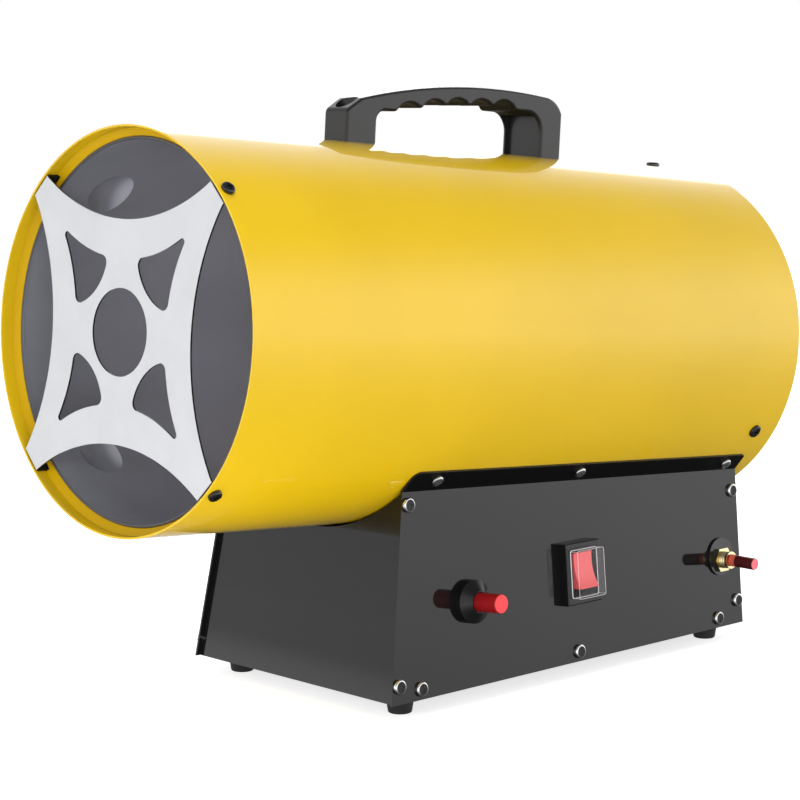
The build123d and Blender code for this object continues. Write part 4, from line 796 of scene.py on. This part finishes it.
enamel("yellow_paint", (0.73, 0.472, 0.003), gloss=0.35, level=0.15, coat=1.0)
# The mouth ring is the same yellow enamel, given a darker copy as painted shade inside the mouth.
enamel("ring_paint", (0.57, 0.345, 0.003), gloss=0.4, level=0.15, coat=0.0)
enamel(
    "dark_paint",
    (0.005, 0.005, 0.0055),
    gloss=0.4,
    level=0.03,
    coat=0.85,
    peel=0.01,
    drift=0.1,
    fade=FLANGE_FADE,
)
enamel("motor_case", (0.030, 0.031, 0.034), gloss=0.42)
enamel("grille_paint", (0.012, 0.012, 0.013), gloss=0.34, level=0.5, peel=0.02)
print("enamels:", ", ".join(finishes))

# %% [markdown]
# Some of the heater's metal has light and shade painted into its tone, by the way it faces or by
# how deep inside it lies: the guard's bent corners get painted shade in black, a screw head's flat
# middle a painted dark reflection inside its bright rim, and the liner painted light deep inside
# and painted shade along its front edge. The surface's own normal and place say where, so the tones
# stay on the heater from every side. Painting them by hand on a texture would do it too, but needs
# an unwrapped mesh.

# %% Painted light and shade by place and direction
# Painted shade: black on the guard's corners, which face sideways.
FOLD_PAINTED_SHADE = (0.01, 0.01, 0.011)
FOLD_TURN = (0.25, 0.45)
# Painted reflection: dark grey on the flat middle of a bright screw head.
DISH_PAINTED_REFLECTION = (0.035, 0.035, 0.036)
DISH_TURN = (0.95, 0.99)
# Painted light deep inside the liner, and painted shade along its front edge.
LINER_PAINTED_LIGHT = (0.84, 0.855, 0.95)
LINER_DEPTH = (-0.2, -0.04)
LIP_PAINTED_SHADE = (0.10, 0.10, 0.11)
LIP_DEPTH = (-0.188, -0.18)
OUTLET_TURN = (0.15, 0.5)


def on_sides(bare, tone, colour, turn):
    """The tone, changed to a colour where a surface looks to either side."""
    return bare.blend(bare.ease(abs(bare.facing("Y")), *turn), tone, paint(*colour))


def guard_fold_shade(bare, tone):
    """The guard's corners, bent back into the tube's shade: painted shade in black."""
    return on_sides(bare, tone, FOLD_PAINTED_SHADE, FOLD_TURN)


def screw_painted_reflection(bare, tone):
    """The flat middle of a screw head on a side panel: a painted dark reflection inside its bright rim."""
    return on_sides(bare, tone, DISH_PAINTED_REFLECTION, DISH_TURN)


def liner_light_and_shade(bare, tone):
    """The liner: painted light makes it paler with depth and on its faces to the outlet, with painted shade on the
    front edge.
    """
    depth = bare.part(bare.place, "X")
    painted_pale = paint(*LINER_PAINTED_LIGHT)
    tone = bare.blend(bare.ease(depth, *LINER_DEPTH), tone, painted_pale)
    to_outlet = bare.blend(bare.ease(depth, *LIP_DEPTH), paint(*LIP_PAINTED_SHADE), painted_pale)
    return bare.blend(bare.ease(bare.facing("X") * -1, *OUTLET_TURN), tone, to_outlet)


print("liner pales from", LINER_DEPTH[0], "to", LINER_DEPTH[1], "m")

# %% [markdown]
# Bare metal has no colour under its shine: its base colour is the colour of its reflection. What
# tells zinc from brass or heated steel is that colour, how blurred the reflection is, and the
# marks left by rolling, turning or heat. Marks run one way, so their noise is stretched along one
# axis. Where a metal is scuffed or heated until it hardly mirrors, as in the liner, Metallic
# comes down.

# %% Metals
MARK_SCALE = 900.0
MARK_DEPTH = 0.012 * MM
MARK_STRENGTH = 0.4
MARK_BLUR = 0.10
TARNISH_SCALE = 38.0
TARNISH_SHARE = 0.86
TARNISH_BLUR = 0.08


def metal(name, colour, rough, metallic=1.0, marks=None, tint=None, painted_tone=None):
    """A metal: tint is its second, cloudy tone, marks its stretch, painted_tone light and shade painted on by
    place.
    """
    bare = Finish(name)
    lines = bare.noise(MARK_SCALE, detail=3.0, stretch=marks)
    tarnish = bare.noise(TARNISH_SCALE, detail=4.0, roughness=0.6)
    cloud = bare.ramp(tarnish, low=0.35, high=0.72)
    other = tint or tuple(part * TARNISH_SHARE for part in colour)
    tone = bare.blend(cloud, paint(*colour), paint(*other))
    finishes[name] = bare.surface(
        Base_Color=painted_tone(bare, tone) if painted_tone else tone,
        Metallic=metallic,
        Roughness=cloud * TARNISH_BLUR + lines * MARK_BLUR + (rough - TARNISH_BLUR),
        Normal=bare.bump(lines, MARK_DEPTH, MARK_STRENGTH),
    )


# The smaller a number, the longer the marks along that axis.
ROLLED = (1, 0.3, 1)
BRUSHED = (1, 0.15, 1)
# The liner gets painted light deep inside and painted shade along its front edge.
metal(
    "liner_steel",
    (0.34, 0.35, 0.395),
    rough=0.36,
    metallic=0.35,
    tint=(0.315, 0.325, 0.365),
    painted_tone=liner_light_and_shade,
)
# The guard's bent corners get painted shade.
metal(
    "guard_plate",
    (0.62, 0.63, 0.65),
    rough=0.42,
    metallic=0.2,
    marks=BRUSHED,
    tint=(0.59, 0.60, 0.62),
    painted_tone=guard_fold_shade,
)
metal("zinc_steel", (0.62, 0.63, 0.64), rough=0.32)
metal("burner_steel", (0.34, 0.33, 0.32), rough=0.42, metallic=0.5, tint=(0.26, 0.24, 0.28))
metal("fan_aluminium", (0.78, 0.79, 0.80), rough=0.30, marks=ROLLED)
# The flat middle of its heads gets a painted dark reflection.
metal("bright_screw", (0.95, 0.95, 0.95), rough=0.12, painted_tone=screw_painted_reflection)
metal("flange_screw", (0.75, 0.75, 0.76), rough=0.16)
metal("dark_screw", (0.075, 0.075, 0.08), rough=0.2, metallic=0.9)
metal("brass", (0.93, 0.83, 0.52), rough=0.20, tint=(0.86, 0.73, 0.40))
metal("copper", (0.82, 0.42, 0.27), rough=0.26, tint=(0.62, 0.30, 0.20))
print(len(finishes), "finishes with the metals")

# %% [markdown]
# Moulded plastic and rubber take the texture of their mould. The handle has a fine spark-eroded
# grain under a soft satin coat, rubber is rougher and paler where it has been handled, and the
# red pieces are smooth and deep in colour. Their ends, which look out at the control side, get a
# brighter red than their shaded sides, painted on as a highlight, so the end has a colour of its own.

# %% Plastics and rubber
HANDLING_SCALE = 45.0
HANDLING_BLUR = 0.07
HANDLED = 1.12
HANDLED_LIFT = 0.002
MOULD_STRENGTH = 0.5
SATIN_BLUR = 0.25
END_TURN = (0.7, 0.9)
GRIP_FADE = (-0.6, -0.1)


def moulded(name, colour, rough, grain, scale=1500.0, coat=0.0, level=0.5, painted_highlight=None, fade=None):
    """Moulded plastic: grain is its relief in mm, painted_highlight a brighter colour painted on faces to the
    control side.
    """
    plastic = Finish(name)
    cloud = plastic.ramp(plastic.noise(HANDLING_SCALE, detail=4.0), low=0.35, high=0.75)
    handled = paint(*(part * HANDLED + HANDLED_LIFT for part in colour))
    tone = plastic.blend(cloud, paint(*colour), handled)
    # A painted highlight: faces to the control side take a brighter colour.
    if painted_highlight:
        tone = plastic.blend(plastic.ease(plastic.facing("Y") * -1, *END_TURN), tone, paint(*painted_highlight))
    texture = plastic.noise(scale, detail=2.0)
    finishes[name] = plastic.surface(
        Base_Color=tone,
        Specular_IOR_Level=level,
        Roughness=cloud * HANDLING_BLUR + rough,
        Coat_Weight=coat_above(plastic, coat, fade),
        Coat_Roughness=SATIN_BLUR,
        Normal=plastic.bump(texture, grain * MM, MOULD_STRENGTH),
    )


moulded(
    "handle_plastic",
    (0.010, 0.010, 0.0105),
    rough=0.5,
    grain=0.01,
    scale=1300.0,
    coat=1.0,
    level=0.08,
    fade=GRIP_FADE,
)
moulded("black_plastic", (0.005, 0.005, 0.0055), rough=0.16, grain=0.006, scale=1800.0, level=0.42)
moulded("black_rubber", (0.016, 0.016, 0.016), rough=0.62, grain=0.03, scale=1100.0)
# The red pieces' ends get a painted highlight in a brighter red.
moulded("red_plastic", (0.25, 0.006, 0.009), rough=0.28, grain=0.006, painted_highlight=(0.95, 0.05, 0.06))
moulded("rocker_plastic", (0.85, 0.09, 0.10), rough=0.22, grain=0.004, painted_highlight=(1.0, 0.14, 0.15))
moulded("cap_plastic", (0.07, 0.008, 0.009), rough=0.28, grain=0.006, painted_highlight=(0.95, 0.18, 0.24))
moulded("seal_rubber", (0.60, 0.10, 0.06), rough=0.5, grain=0.01, scale=1400.0)
moulded("ceramic", (0.82, 0.79, 0.72), rough=0.25, grain=0.006, scale=900.0, coat=0.6)
# White plastic for the painted highlight beads along the hood's edges.
moulded("painted_edge_highlight", (0.97, 0.97, 0.98), rough=0.3, grain=0.004, coat=0.5)
moulded("block_plastic", (0.62, 0.62, 0.58), rough=0.45, grain=0.01)
print(len(finishes), "finishes with the plastics")

# %% [markdown]
# The switch sits under a clear hood. Real clear plastic bends light, which costs many bounces in
# so thin a wall, so a mix serves: mostly see-through face on, and mirror-like at a glancing
# angle, which is what Layer Weight measures.

# %% Clear hood
CLEAR = paint(0.96, 0.965, 0.97)
VEIL = paint(0.80, 0.81, 0.82)
HAZE_SCALE = 300.0
HAZE_BLUR = 0.08
VEIL_BLUR = 0.06
VEIL_EDGE = 0.36
VEIL_FACE = 0.01

hood = Finish("clear_plastic")
glance = hood.node("LayerWeight", {}, {"Blend": 0.35}, output="Facing")
haze = hood.ramp(hood.noise(HAZE_SCALE, detail=2.0), low=0.4, high=0.8)
through = hood.node("BsdfTransparent", {}, {"Color": CLEAR})
shine_sockets = {"Base Color": VEIL, "Roughness": haze * HAZE_BLUR + VEIL_BLUR, "Coat Weight": 0.5}
shine = hood.node("BsdfPrincipled", {}, shine_sockets)
veiled = glance**2 * VEIL_EDGE + VEIL_FACE
finishes["clear_plastic"] = hood.close(hood.node("MixShader", {}, (veiled, through, shine)))
print("hood veil from", VEIL_FACE, "to", VEIL_EDGE + VEIL_FACE)

# %% [markdown]
# Each CAD piece names its finish in the record, so one loop dresses them all. The flange's screws
# get a brighter finish than their slot has, and the beads along the hood's edges get the white of a
# painted highlight. The shape of a CAD piece is never touched: only its material slot is filled.

# %% Dress every piece
BETTER = {
    "control_flange_screws": "flange_screw",
    "far_flange_screws": "flange_screw",
    "hood_edge_highlights": "painted_edge_highlight",
}
slot_of = {row["node"]: row["material_slot"] for row in frame["record"]["subparts"]}
for node, piece in frame["nodes"].items():
    material = finishes[BETTER.get(node, slot_of[node])].block
    if piece.data.materials:
        for index in range(len(piece.data.materials)):
            piece.data.materials[index] = material
    else:
        piece.data.materials.append(material)
for piece, slot in made_pieces.items():
    piece.data.materials.append(finishes[BETTER.get(piece.name, slot)].block)
print(len(finishes), "finishes on", len(frame["nodes"]), "CAD pieces and", len(made_pieces), "made")

# %% [markdown]
# Last comes a note of the size.

# %% Size and finish
low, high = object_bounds()
print("dressed box, mm:", [round(size / MM, 1) for size in high - low])
